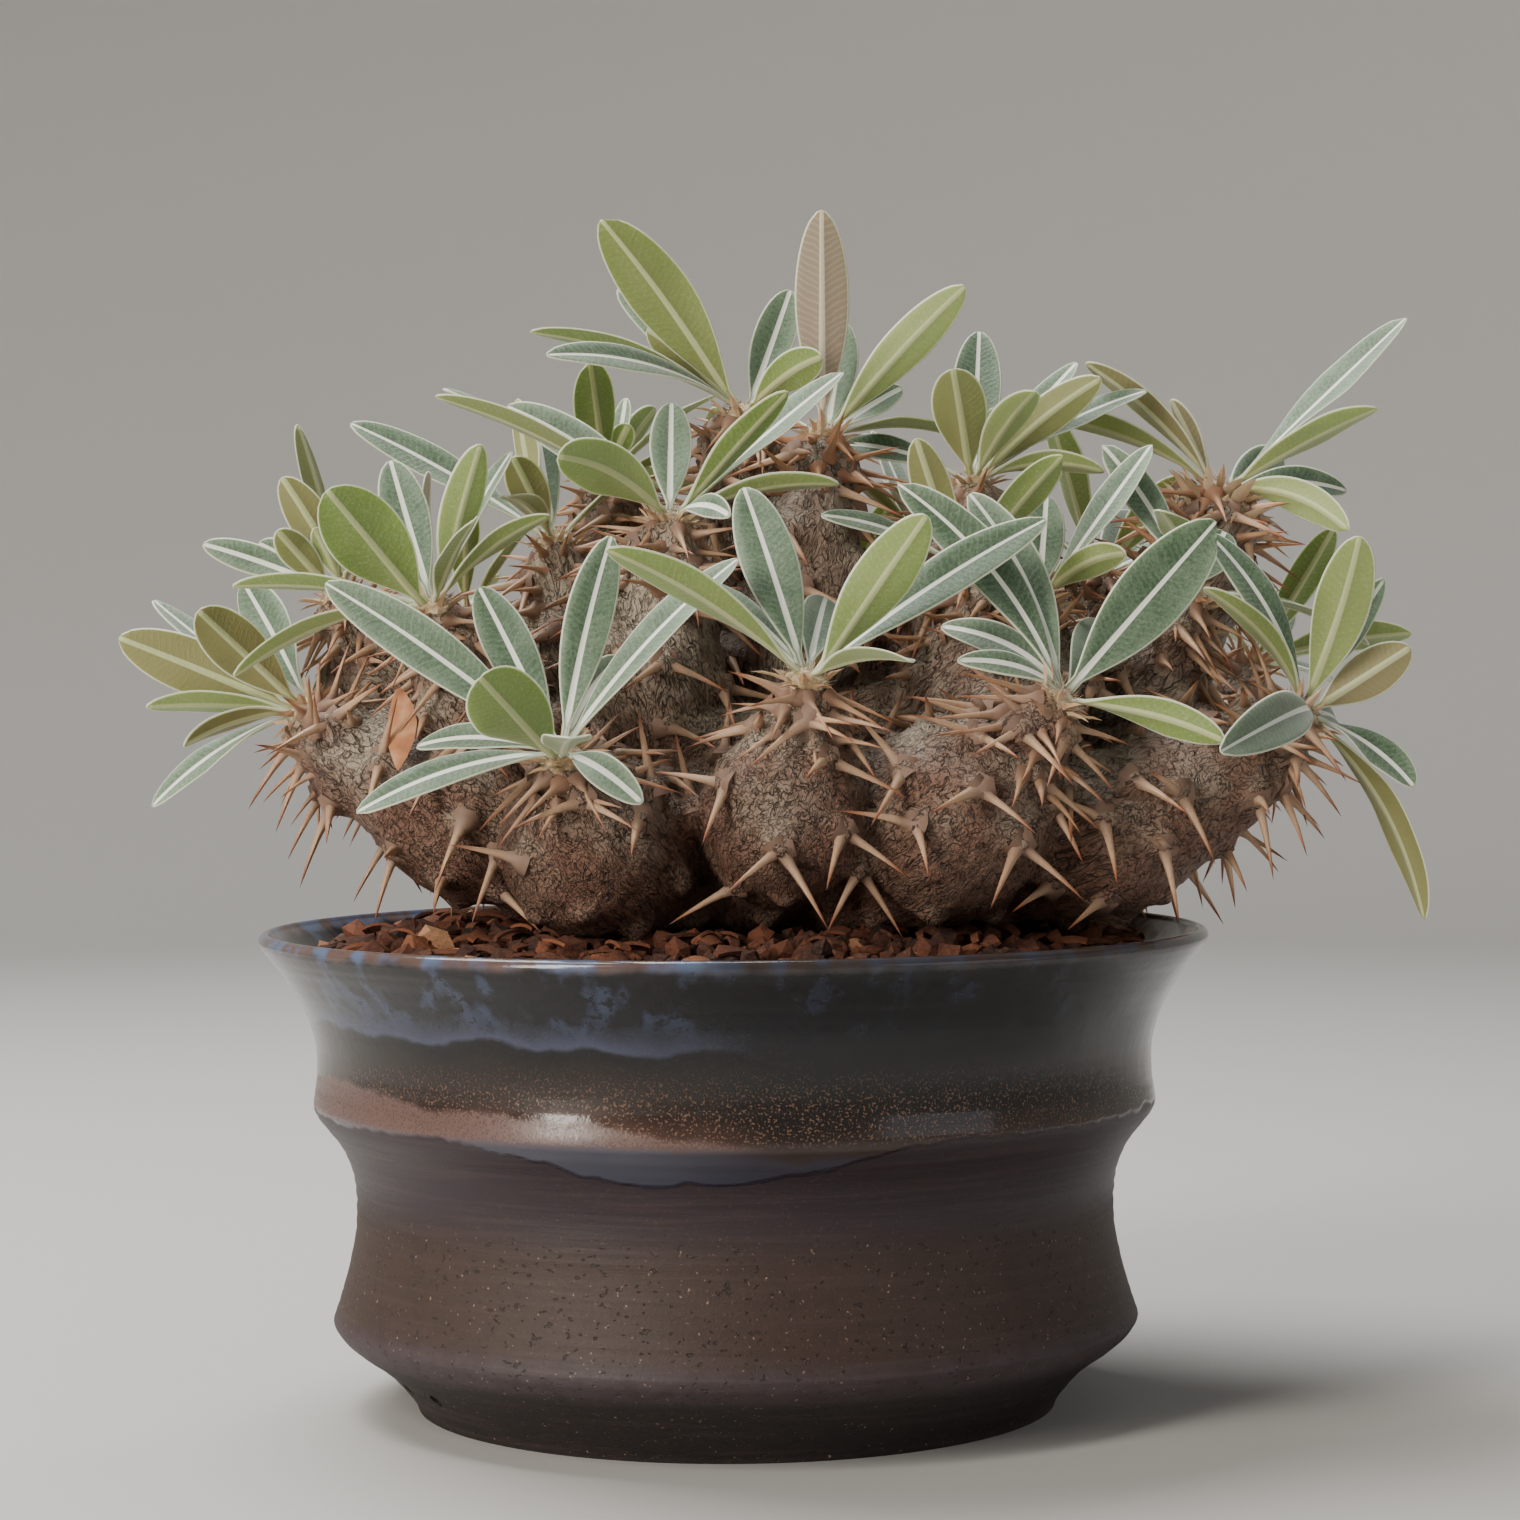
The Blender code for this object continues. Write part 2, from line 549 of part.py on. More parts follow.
def roll_to_show(crown, axis, tip, shown, side):
    """The roll about the midrib that shows this side, and this share of the width, to the front."""
    place, tangent = blade_line(crown, axis, tip, 0.6)
    to_eye = (EYE - place).normalized()
    over = upper_side(crown, axis, tip, 0.6, 0.0)
    level, turned_side = to_eye.dot(over), to_eye.dot(tangent.cross(over))
    most = math.hypot(level, turned_side)
    lean = math.acos(max(-1.0, min(1.0, side * shown / most)))
    rolls = [math.atan2(turned_side, level) + hand * lean for hand in (-1, 1)]
    rolls = [math.remainder(roll, 2 * math.pi) for roll in rolls]
    return max(-ROLL_LIMIT, min(ROLL_LIMIT, min(rolls, key=abs)))


def blade(crown, axis, tip, width, roll, grow=0.0):
    """(verts, faces) of one folded blade with a pointed root; grow makes it larger all round."""
    root, tangent = blade_line(crown, axis, tip, 0.0)
    verts, faces = [root - tangent * BLADE_ROOT * MM], []
    for share in BLADE_STATIONS:
        place, tangent = blade_line(crown, axis, tip, share)
        over = upper_side(crown, axis, tip, share, roll)
        across = tangent.cross(over)
        half = width * blade_width(share) / 2 * MM + grow
        lift = over * half * math.sin(BLADE_FOLD)
        thick = over * (BLADE_THICKNESS * MM / 2 * (1 - 0.35 * share) + grow)
        verts += [place - across * half + lift, place + thick]
        verts += [place + across * half + lift, place - thick]
    verts.append(tip)
    last = len(verts) - 1
    for k in range(4):
        after = (k + 1) % 4
        faces.append((0, 1 + after, 1 + k))
        for ring in range(1, last - 4, 4):
            faces.append((ring + k, ring + after, ring + 4 + after))
            faces.append((ring + k, ring + 4 + after, ring + 4 + k))
        faces.append((last - 4 + k, last - 4 + after, last))
    return verts, faces


def tree_of(verts, faces):
    return BVHTree.FromPolygons([tuple(v) for v in verts], faces)


def past_the_stalk(verts, faces):
    """The faces of a blade from its first station on, where leaves of one head no longer meet."""
    return verts, [face for face in faces if 0 not in face]


def leaf_clear(name, leaf, placed, skin, cross_own):
    """Whether a leaf stands clear of the other leaves, of the caudex and of the pot.

    With cross_own it may cross leaves of its own head.
    """
    shape = blade(*leaf, grow=LEAF_GAP * MM)
    whole, outer = tree_of(*shape), tree_of(*past_the_stalk(*shape))
    if whole.overlap(skin):
        return False
    for other, leaf_tree, outer_tree in placed:
        if other != name and whole.overlap(leaf_tree):
            return False
        if other == name and not cross_own and outer.overlap(outer_tree):
            return False
    low = (RIM_HEIGHT + 2) * MM
    near = (RIM_RADIUS + 3) * MM
    return not any(vert.z < low and math.hypot(vert.x, vert.y) < near for vert in shape[0])


def seen_leaf(name, tip, shift):
    """(crown, axis, tip, width, roll) of a leaf of the table, moved in depth by shift."""
    crown, axis = crown_frame(name)
    end = seen(tip.across, tip.up, LIMBS[name].crown[2] + tip.depth + shift)
    width = max(tip.width, 0.13 * (end - crown).length / MM + 2.5)
    roll = roll_to_show(crown, axis, end, tip.width / width, tip.side)
    return crown, axis, end, width, roll


def more_leaves(name, taken):
    """The leaves that fill the free side of a head, by the golden angle and a seeded draw."""
    crown, axis = crown_frame(name)
    draw = random.Random(name)
    side = axis.orthogonal().normalized()
    found = []
    turn = draw.uniform(0, 2 * math.pi)
    for _ in range(60):
        turn += GOLDEN_ANGLE
        lean = draw.uniform(*MORE_LEAN)
        round_axis = Matrix.Rotation(turn, 3, axis) @ side
        aim = axis * math.cos(lean) + round_axis * math.sin(lean)
        length = draw.uniform(*MORE_LENGTH)
        width = draw.uniform(*MORE_WIDTH)
        roll = draw.uniform(-0.5, 0.5)
        apart = all(aim.angle(other) > math.radians(24) for other in taken)
        if apart and len(found) < MORE_LEAVES[name]:
            taken.append(aim)
            found.append((crown, axis, crown + aim * length * MM, width, roll))
    return found


def lay_out_leaves(skin):
    """{head: [(crown, axis, tip, width, roll)]}, each leaf moved in depth until it is clear.

    skin is the tree of the caudex, with its sockets.
    """
    heads, placed = {name: [] for name in LIMBS}, []

    def add(name, choices, may_cross):
        for cross_own in (False, True) if may_cross else (False,):
            for leaf in choices:
                if leaf_clear(name, leaf, placed, skin, cross_own):
                    shape = blade(*leaf)
                    placed.append((name, tree_of(*shape), tree_of(*past_the_stalk(*shape))))
                    heads[name].append(leaf)
                    return

    for name, tips in SEEN_LEAVES.items():
        for tip in tips:
            add(name, [seen_leaf(name, tip, shift) for shift in DEPTH_SHIFTS], True)
    for name in LIMBS:
        taken = [(tip - crown).normalized() for crown, _, tip, _, _ in heads[name]]
        for leaf in more_leaves(name, taken):
            add(name, [leaf], False)
    return heads


def make_head(name, leaves):
    """One head of leaves: blades fused to the woolly growing tip that they spring from."""
    crown, axis = crown_frame(name)
    head = prism("leaves_" + name, crown, axis, CROWN_RADIUS, -CROWN_SINK, CROWN_RISE, 6)
    blades = [outward(mesh_object("blade", *blade(*leaf))) for leaf in leaves]
    return finish(keep_largest(boolean(head, blades, "UNION")), "leaf")


def make_spines(paths, skin, heads):
    """A pair of spines on each tubercle, less those that would reach a limb, a head or the pot."""
    blades = [tree_of(*blade(*leaf)) for leaves in heads.values() for leaf in leaves]
    tips = [crown_frame(name) for name in LIMBS]
    blades += [tree_of(*prism_shape(*tip, CROWN_RADIUS, -CROWN_SINK, CROWN_RISE, 6)) for tip in tips]
    spines = []
    for foot, side, along in tubercles(paths, skin, TUBERCLE_SPACING):
        for hand in (-1, 1):
            aim, length = spine_aim(foot, side, along, hand)
            if spine_clear(foot, aim, length, skin, blades):
                spines.append(outward(mesh_object("spine", *spine_faces(foot, aim, length))))
    return spines


def centre_footprint():
    """Moves all the parts together until their common bounding box is centred on the Z axis."""
    places = [vert.co for obj in bpy.data.objects for vert in obj.data.vertices]
    low = Vector([min(place[axis] for place in places) for axis in range(3)])
    high = Vector([max(place[axis] for place in places) for axis in range(3)])
    middle = (low + high) / 2
    for obj in bpy.data.objects:
        obj.data.transform(Matrix.Translation((-middle.x, -middle.y, 0.0)))


def main():
    for obj in list(bpy.data.objects):
        bpy.data.objects.remove(obj)
    make_pot()
    make_soil()
    paths = {name: limb_path(name) for name in LIMBS}
    caudex = make_body(paths)
    places = [vert.co for vert in caudex.data.vertices]
    skin = tree_of(places, [face.vertices for face in caudex.data.polygons])
    heads = lay_out_leaves(skin)
    for name, leaves in heads.items():
        make_head(name, leaves)
    root = prism("root", Vector((0, 0, 0)), UP, PLUG_RADIUS, PLUG_BOTTOM, PLUG_TOP, TURNED_SIDES)
    boolean(caudex, [root, *make_spines(paths, skin, heads)], "UNION")
    finish(keep_largest(caudex), "caudex")
    centre_footprint()


main()
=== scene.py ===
"""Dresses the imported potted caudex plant: pot, soil, caudex, spines, leaves and a plain stage.

The limbs and leaves are laid out by the same tables and rules as the CAD solids, so every finer
piece stands where its solid stands. Sizes in the tables are millimetres, about the pot's axis.
"""

import functools
import itertools
import math
import random
from collections import namedtuple

import bmesh
import bpy
import numpy as np
from bpy.props import FloatProperty, IntProperty, PointerProperty, StringProperty
from mathutils import Matrix, Vector, noise
from mathutils.bvhtree import BVHTree
from mathutils.kdtree import KDTree


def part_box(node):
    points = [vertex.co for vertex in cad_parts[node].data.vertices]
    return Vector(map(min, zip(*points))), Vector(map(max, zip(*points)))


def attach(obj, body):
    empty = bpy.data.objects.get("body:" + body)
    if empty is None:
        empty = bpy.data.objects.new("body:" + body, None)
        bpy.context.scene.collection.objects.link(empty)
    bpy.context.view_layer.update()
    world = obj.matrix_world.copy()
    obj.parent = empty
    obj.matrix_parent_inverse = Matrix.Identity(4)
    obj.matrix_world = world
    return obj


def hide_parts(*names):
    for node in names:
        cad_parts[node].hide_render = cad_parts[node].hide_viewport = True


bl_info = {
    "name": "Potted caudex plant",
    "version": (1, 0, 0),
    "blender": (4, 5, 0),
    "location": "View3D > Sidebar > Plant",
    "description": "Dresses a packed caudex plant with pot, grit, bark, spines, leaves and stage",
    "category": "Object",
}

MM = 0.001
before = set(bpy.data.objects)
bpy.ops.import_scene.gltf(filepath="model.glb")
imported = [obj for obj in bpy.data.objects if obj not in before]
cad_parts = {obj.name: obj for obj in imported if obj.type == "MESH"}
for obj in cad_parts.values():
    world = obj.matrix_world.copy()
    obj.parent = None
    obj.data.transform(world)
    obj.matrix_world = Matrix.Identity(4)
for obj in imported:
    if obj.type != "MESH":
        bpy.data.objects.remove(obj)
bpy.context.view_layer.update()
POT_LOW, POT_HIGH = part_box("pot")
POT_AXIS = Vector(((POT_LOW.x + POT_HIGH.x) / 2, (POT_LOW.y + POT_HIGH.y) / 2, 0.0))
# Where the plant is seen from in the photograph.
EYE = Vector((5.0, -696.0, 135.0)) * MM
UP = Vector((0, 0, 1))
GOLDEN_ANGLE = math.radians(137.508)

# Pot
RIM_RADIUS = 89.0
RIM_HEIGHT = 89.3
FOOT_RADIUS = 60.0
FOOT_RING_WIDTH = 9.0
FOOT_RECESS = 2.5
FLOOR_TOP = 8.0
DRAIN_RADIUS = 8.0
PLAIN_SIDES = 32
OUTER_PROFILE = (
    (61.2, 2.4), (66.2, 8.0), (73.0, 13.0), (75.6, 16.3), (75.0, 19.0), (73.2, 25.0),
    (71.4, 34.0), (71.6, 43.0), (74.0, 49.5), (78.2, 55.0), (79.1, 57.4), (78.5, 62.0),
    (78.6, 68.5), (80.6, 75.0), (84.0, 80.6), (87.2, 84.8),
)
INNER_PROFILE = (
    (86.4, 88.2), (82.5, 84.5), (78.0, 79.0), (73.0, 66.0), (72.6, 56.0), (66.2, 44.0),
    (67.5, 20.0), (61.0, 10.0),
)
# The rounded lip, from the outer wall over the rim to the inner wall.
LIP_PROFILE = (
    (RIM_RADIUS - 0.3, 86.9), (RIM_RADIUS, 88.0), (RIM_RADIUS - 0.6, 89.0),
    (RIM_RADIUS - 1.6, RIM_HEIGHT), (86.9, 88.8),
)
FLOOR_RADIUS = 48.0
# Two small holes for tie wire above the foot: their turns, and their distance from the axis and height.
TIE_HOLES = (math.radians(-157), math.radians(-146))
TIE_HOLE_PLACE = (65.0, 6.6)
TIE_HOLE_RADIUS = 1.5
TIE_HOLE_DEPTH = 5.0

# Soil
CLEARANCE = 0.3
SOIL_AT_WALL = 84.0
SOIL_DOME = ((70.0, 86.2), (57.0, 88.0), (44.0, 89.3), (32.0, 90.0))
SOIL_ROUGHNESS = 0.7
PLUG_RADIUS = 26.0
PLUG_BOTTOM = 70.0
PLUG_TOP = 96.0
# Where the grains lie, and how large they are beside the usual one.
GRAIN_RADII = (40, 79.0)
GRAIN_SIZES = (0.45, 0.6, 0.8, 1.0, 1.0, 1.25, 1.7)
# The soil that cuts the body reaches from this height up and out to this radius.
CUTTER_BOTTOM = 60.0
CUTTER_RADIUS = 96.0

# Caudex
VOXEL = 2.2
BODY_FACES = 2700
LIMB_STEP = 2.5
ROOT_HEIGHT = 104
# The balls that the body is grown from at its heart: (x, y, z, radius).
HEART = ((0, 2, 108, 31), (30, -4, 114, 24), (-30, 0, 112, 22), (8, 28, 112, 25), (2, -22, 110, 22),
         (52, 4, 118, 18), (-2, 6, 132, 19), (28, 8, 134, 17), (-18, 40, 110, 18), (40, 36, 114, 19))
HEART_CENTRE = Vector((0.0, 0.0, 75.0)) * MM
CROWN_RADIUS = 3.4
CROWN_SINK = 3.0
# The finished bark's wrinkles run out from the heart, closer together near it by this length.
WRINKLE_REACH = 0.063
WRINKLE_FLOOR = 0.3
# How near the noise is to zero where a crease runs.
CREASE = 0.14
# How near a limb has to be to paint shade on the bark, and how near a spine or a crown has to be to
# change its colour.
SHADE_REACH = 26
SPINE_REACH = 3.6
CROWN_REACH = 10

# Spines
PLAIN_SPACING = 14.0
# One foot is tried for each of these square millimetres of bark.
TRY_AREA = 14
SPINE_LENGTH = 14.0
SPINE_RADIUS = 1.35
SPINE_SPLAY = math.radians(48)
SPINE_ROOT = 3.0
SPINE_DROOP = 0.3
# Spines and leaves keep this far outside the rim, or above it.
RIM_MARGIN = 3
# A finished spine of the usual length: (share of the length, radius).
SPINE_PROFILE = (
    (-0.08, 3.0), (0.0, 2.5), (0.05, 1.8), (0.12, 1.2), (0.24, 0.84), (0.42, 0.62), (0.64, 0.42),
    (0.84, 0.22),
)
SPINE_SIDES = 6
# How far a finished spine's tip bends, as a share of its length.
SPINE_SAG = 0.12
# The whorls of spines round a neck: (depth below the crown, number of spines).
CROWN_WHORLS = ((2.0, 8), (5.0, 8), (8.5, 7), (12.5, 6))
# The limbs whose whorls have warmer brown spines.
WARM_CROWNS = ("right_high", "top_right")
# The bark of a neck is looked for from this far out, and taken if it is this near the neck's radius.
NECK_REACH = 14
NECK_MARGIN = 3.5

# Dry scales curl back by this share of their length.
SCALE_CURL = 0.3
# Dry scales and the dead leaf: (share of the length, share of the width).
SCALE_OUTLINE = ((0.0, 0.7), (0.35, 1.0), (0.7, 0.6))
DEAD_LEAF_OUTLINE = ((0.0, 0.2), (0.1, 0.5), (0.25, 0.85), (0.45, 1.0), (0.65, 0.85), (0.85, 0.45))
CROWN_SCALES = 13
# One limb's neck is also covered by dry scales.
DRY_CROWN, DRY_CROWN_SCALES = "right_high", 46
CROWN_HAIRS = 110
HAIR_RADIUS = 0.11

# Leaves
BLADE_STATIONS = (0.24, 0.56, 0.86)
BLADE_ROOT = 3.6
BLADE_THICKNESS = 1.1
BLADE_FOLD = math.radians(13)
PETIOLE_SHARE = 0.17
ARCH = 0.16
# A finished leaf's vertices lie in rows, at these shares of its half width.
HALF_COLUMNS = (0.07, 0.2, 0.4, 0.62, 0.82, 0.95, 1.0)
COLUMNS = (*(-u for u in reversed(HALF_COLUMNS)), 0.0, *HALF_COLUMNS)
ROWS = 22
VEIN_SPACING = 1.4

UPPER, UNDER = 1, -1
Limb = namedtuple("Limb", "knees crown neck more_leaves")
Tip = namedtuple("Tip", "across up depth width side tint", defaults=(UPPER, 0.0))

# A knee is (across, up, depth, radius); a crown, where the leaves sit, is (across, up, depth). The
# head also has some more leaves, on the side that those in the next table leave free.
LIMBS = {
    "front_left": Limb([(-27, 104.5, -43, 17)], (-32, 121, -56), 6.6, 1),
    "front_middle": Limb([(10.5, 109.5, -45, 16)], (14, 135, -51), 6.6, 3),
    "front_right": Limb([(40, 108, -39, 18.5)], (61.5, 131, -46), 6.8, 2),
    "right": Limb([(70, 106, -27, 16), (91, 117, -24, 12)], (107, 128, -20), 7.2, 1),
    "far_left": Limb([(-49.5, 109, -23, 14.5), (-71, 121, -18, 10)], (-80, 130, -12), 6.6, 1),
    "left": Limb([(-47, 126, -22, 12.5)], (-56, 149, -28), 6.6, 1),
    "middle_left": Limb([(-15, 134, -20, 14), (-13, 152, -21, 8.5)], (-11.5, 165, -20), 6.8, 0),
    "top_left": Limb([(-1, 155, 6, 11)], (2.5, 185, 5), 6.8, 1),
    "top_right": Limb([(13, 143, -8, 13), (15, 162, -8, 10)], (17.5, 180.5, -2), 7.0, 3),
    "centre_right": Limb([(46, 150, 2, 12)], (45.5, 171.5, 5), 6.8, 1),
    "right_inner": Limb([(44, 132, -14, 12)], (44, 155, -12), 6.2, 3),
    "right_low": Limb([(57, 132, -20, 12)], (57.5, 149, -15), 6.4, 3),
    "right_mid": Limb([(76, 132, -8, 12)], (86.5, 150.5, -10), 6.4, 4),
    "right_high": Limb([(80, 140, 10, 12), (87, 153, 12, 10.5)], (92, 169.5, 15), 8.6, 1),
    "left_behind": Limb([(-61, 128, 6, 12)], (-73.5, 152, 2), 6.4, 1),
    "left_inner": Limb([(-30, 138, 6, 13)], (-33, 161, 8), 6.6, 2),
    "back_left_high": Limb([(-20, 146, 28, 13)], (-23.5, 173, 30), 6.6, 4),
    "back_high": Limb([(4, 138, 44, 15)], (3, 166, 47), 6.8, 7),
    "back_right_high": Limb([(34, 134, 42, 14)], (36, 160, 44), 6.6, 7),
    "back_right": Limb([(62, 128, 38, 15)], (69, 154, 46), 6.6, 7),
    "back_left": Limb([(-42, 122, 38, 15)], (-50, 147, 46), 6.6, 7),
    "back_middle": Limb([(12, 109, 58, 17)], (16, 141, 74), 6.8, 8),
    "back_low_left": Limb([(-22, 107, 55, 16)], (-28, 134, 70), 6.8, 8),
    "back_low_right": Limb([(48, 107.5, 55, 16)], (54, 135, 72), 6.8, 8),
    "far_right_back": Limb([(80, 112, 32, 14)], (98, 138, 42), 6.6, 8),
}

# The midrib's half width and how far it stands out from each side of a finished leaf.
RIB_WIDTH = 0.75
RIB_RELIEF = {UPPER: -0.12, UNDER: -0.45}
# The leaves that show from the front: where the tip is seen, how far it lies behind the crown, the
# width and the side of the blade that show, and a tint that is 1 for olive brown and more for russet.
SEEN_LEAVES = {
    "front_left": (
        (-47.5, 136.5, -27, 13, UNDER), (-76.5, 154.5, 8, 8.8), (-47.5, 153.5, 14, 8.8),
        (-22.5, 163, 8, 8.5), (1.5, 158.5, 5, 5.5), (-20.5, 140, 16, 6), (-71, 111, -8, 5.2),
        (-17, 112.5, -14, 6), (-59.5, 123.5, 8, 4),
    ),
    "front_middle": (
        (2.5, 172, 12, 10.2), (-23.5, 160.5, -8, 5.8, UNDER), (37, 166.5, -14, 10.2, UNDER),
        (59.5, 165.5, 6, 7.8),
    ),
    "front_right": (
        (31.5, 172.5, 10, 8.6), (45, 170.5, 14, 8.6), (91.5, 165, 4, 12.6), (39.5, 145.5, 16, 6),
        (42.5, 139, -4, 4.2), (93, 123.5, -12, 6.8, UNDER),
    ),
    "right": (
        (89.5, 163, 8, 7.5), (89, 152.5, -6, 4.2, UNDER), (118.5, 162, -12, 10.2, UNDER, 0.25),
        (123, 154, 4, 6), (128, 141, -2, 8.8, UNDER, 1.2), (128.5, 114.5, -8, 7.5),
        (130.5, 89.5, -2, 5.4, UNDER, 0.7), (92, 121.5, -45, 9.2), (83, 125.5, 4, 4),
    ),
    "right_high": (
        (127.5, 203, -2, 5.6), (67, 195, -6, 4.8, UNDER, 1.2), (83, 188, 4, 3.6, UNDER, 1.3),
        (104, 177, 18, 8), (116, 170.5, 20, 4.5), (116.5, 163, -20, 7, UNDER),
        (48.5, 186, -4, 4.5, UNDER),
    ),
    "centre_right": (
        (47, 201, 14, 9.5), (42, 194, -14, 10.4, UNDER, 0.6), (70, 192, -8, 7.5, UNDER, 0.6),
        (78.5, 189.5, 2, 4), (65.5, 195, 12, 4.5), (70.5, 174.5, -4, 4.2, UNDER), (20, 180, 4, 5),
    ),
    "right_inner": ((35, 181, -6, 7.5, UNDER, 0.7), (17, 166.5, 2, 3.5)),
    "right_low": ((79.5, 179.5, 8, 5.5), (74.5, 159, -16, 6, UNDER), (59.5, 170, 14, 8)),
    "right_mid": ((70, 179.5, 6, 6.6), (93, 163, 10, 8)),
    "top_right": (
        (17.5, 224, -8, 10.2, UNDER, 1.7), (44.5, 209.5, -8, 8.3, UNDER), (21.5, 203, 12, 8),
        (32.5, 190.5, 12, 5),
    ),
    "top_left": (
        (-24, 222.5, -12, 12, UNDER, 0.4), (-21, 209.5, 10, 7), (-15.5, 202, -3, 8, UNDER, 0.7),
        (-37.5, 201.5, -2, 3.5, UNDER), (-34.5, 197, -7, 4.2), (17.5, 196.5, -18, 7.5, UNDER),
        (11.5, 209, 10, 8),
    ),
    "middle_left": (
        (-32.5, 178, -20, 10, UNDER), (-11, 188, 16, 8), (11, 190, -10, 5.2, UNDER),
        (21.5, 193.5, 2, 4.8), (-55.5, 189.5, 2, 3.4, UNDER, 0.4), (-42, 187.5, 8, 7.5),
        (20.5, 172.5, -4, 3.6, UNDER), (0, 166.5, -14, 3.5),
    ),
    "left": (
        (-76, 172, -18, 13.8, UNDER), (-64, 177.5, 12, 8.8), (-47, 180.5, -8, 7.5, UNDER),
        (-41, 179, 3, 3.4), (-34, 167, -8, 3.6, UNDER), (-56.5, 175, 12, 5, UNDER, 1.3),
        (-94, 154, -2, 3.2, UNDER), (-94, 137, -8, 3.2, UNDER),
    ),
    "far_left": (
        (-100.5, 149.5, -14, 10.2, UNDER, 0.85), (-115.5, 144.5, -2, 10.5, UNDER, 0.8),
        (-110.5, 131.5, -8, 4, UNDER), (-103.5, 124, -12, 3.2, UNDER, 0.8), (-109.5, 112.5, 2, 4.4),
        (-109, 151.5, 12, 5), (-92, 155, 14, 10),
    ),
    "left_behind": (
        (-99.5, 162, 4, 5.8), (-89, 162, 12, 6), (-85.5, 164.5, -10, 6.4, UNDER, 0.6),
        (-84.5, 174.5, -4, 8, UNDER, 0.8), (-78.5, 165, -8, 4, UNDER),
        (-81.5, 184.5, 4, 7.8, UNDER, 0.5),
    ),
    "left_inner": (
        (-71.5, 184.5, 4, 6.5), (-41, 178, -12, 7.6, UNDER, 0.8), (-40, 189, 4, 6, UNDER, 0.6),
        (-37, 188, 14, 6),
    ),
    "back_left_high": (
        (-19.5, 189, 4, 3.5), (-19, 184, -7, 5, UNDER), (-14, 187, 10, 6, UNDER),
    ),
}
MORE_LENGTH = (27.0, 37.0)
MORE_WIDTH = (6.5, 9.5)
MORE_LEAN = (math.radians(38), math.radians(80))
DEPTH_SHIFTS = (0, 3, -3, 6, -6, 9, -9, 13, -13, 17, -17)
LEAF_GAP = 0.5
ROLL_LIMIT = math.radians(75)


def linear(code):
    """(r, g, b, 1) in linear light from an sRGB hex value."""
    parts = [int(code[k : k + 2], 16) / 255 for k in (1, 3, 5)]
    light = [part / 12.92 if part <= 0.04045 else ((part + 0.055) / 1.055) ** 2.4 for part in parts]
    return (*light, 1.0)


# Meshes

def mesh_object(name, verts, faces):
    mesh = bpy.data.meshes.new(name)
    mesh.from_pydata(verts, [], faces)
    made = bpy.data.objects.new(name, mesh)
    bpy.context.scene.collection.objects.link(made)
    return made


def outward(obj):
    """Turns every face of a closed mesh to point out."""
    shell = bmesh.new()
    shell.from_mesh(obj.data)
    bmesh.ops.recalc_face_normals(shell, faces=shell.faces)
    shell.to_mesh(obj.data)
    shell.free()
    return obj


def bake(obj):
    """Replaces the object's mesh by what its modifiers make of it."""
    graph = bpy.context.evaluated_depsgraph_get()
    graph.update()
    made = bpy.data.meshes.new_from_object(obj.evaluated_get(graph))
    old = obj.data
    obj.modifiers.clear()
    obj.data = made
    bpy.data.meshes.remove(old)
    return obj


def boolean(obj, others, operation):
    """Joins or cuts the object with all the others at once, and removes them."""
    group = bpy.data.collections.new("operands")
    bpy.context.scene.collection.children.link(group)
    for other in others:
        bpy.context.scene.collection.objects.unlink(other)
        group.objects.link(other)
    step = obj.modifiers.new(operation.lower(), "BOOLEAN")
    step.operation = operation
    step.operand_type = "COLLECTION"
    step.collection = group
    step.solver = "MANIFOLD"
    bake(obj)
    for other in others:
        bpy.data.objects.remove(other)
    bpy.data.collections.remove(group)
    return obj


def keep_largest(obj):
    """Drops any loose scrap that a cut or a join has left beside the main body."""
    shell = bmesh.new()
    shell.from_mesh(obj.data)
    left = set(shell.verts)
    islands = []
    while left:
        front = [left.pop()]
        island = set(front)
        while front:
            for edge in front.pop().link_edges:
                for vert in edge.verts:
                    if vert in left:
                        left.remove(vert)
                        island.add(vert)
                        front.append(vert)
        islands.append(island)
    largest = max(islands, key=len)
    loose = [vert for vert in shell.verts if vert not in largest]
    bmesh.ops.delete(shell, geom=loose, context="VERTS")
    shell.to_mesh(obj.data)
    shell.free()
    return obj


def turned(name, profile, sides, capped=False):
    """A body turned about +Z from an outline of (radius, height) in millimetres.

    The outline is a closed loop, or with capped its two ends are closed by flat discs.
    """
    verts, faces = [], []
    count = len(profile)
    for side in range(sides):
        angle = 2 * math.pi * side / sides
        for radius, height in profile:
            verts.append((radius * MM * math.cos(angle), radius * MM * math.sin(angle), height * MM))
    for side in range(sides):
        here, there = side * count, (side + 1) % sides * count
        for step in range(count - 1 if capped else count):
            after = (step + 1) % count
            faces.append((here + step, there + step, there + after, here + after))
    if capped:
        faces += [tuple(side * count + end for side in range(sides)) for end in (0, count - 1)]
    return outward(mesh_object(name, verts, faces))


def beside(axis, turn):
    """The unit vector square to the axis that lies at this turn about it."""
    return Matrix.Rotation(turn, 3, axis) @ axis.orthogonal().normalized()


def spokes(axis, count):
    """Unit vectors square to the axis, evenly spaced about it."""
    return [beside(axis, 2 * math.pi * k / count) for k in range(count)]


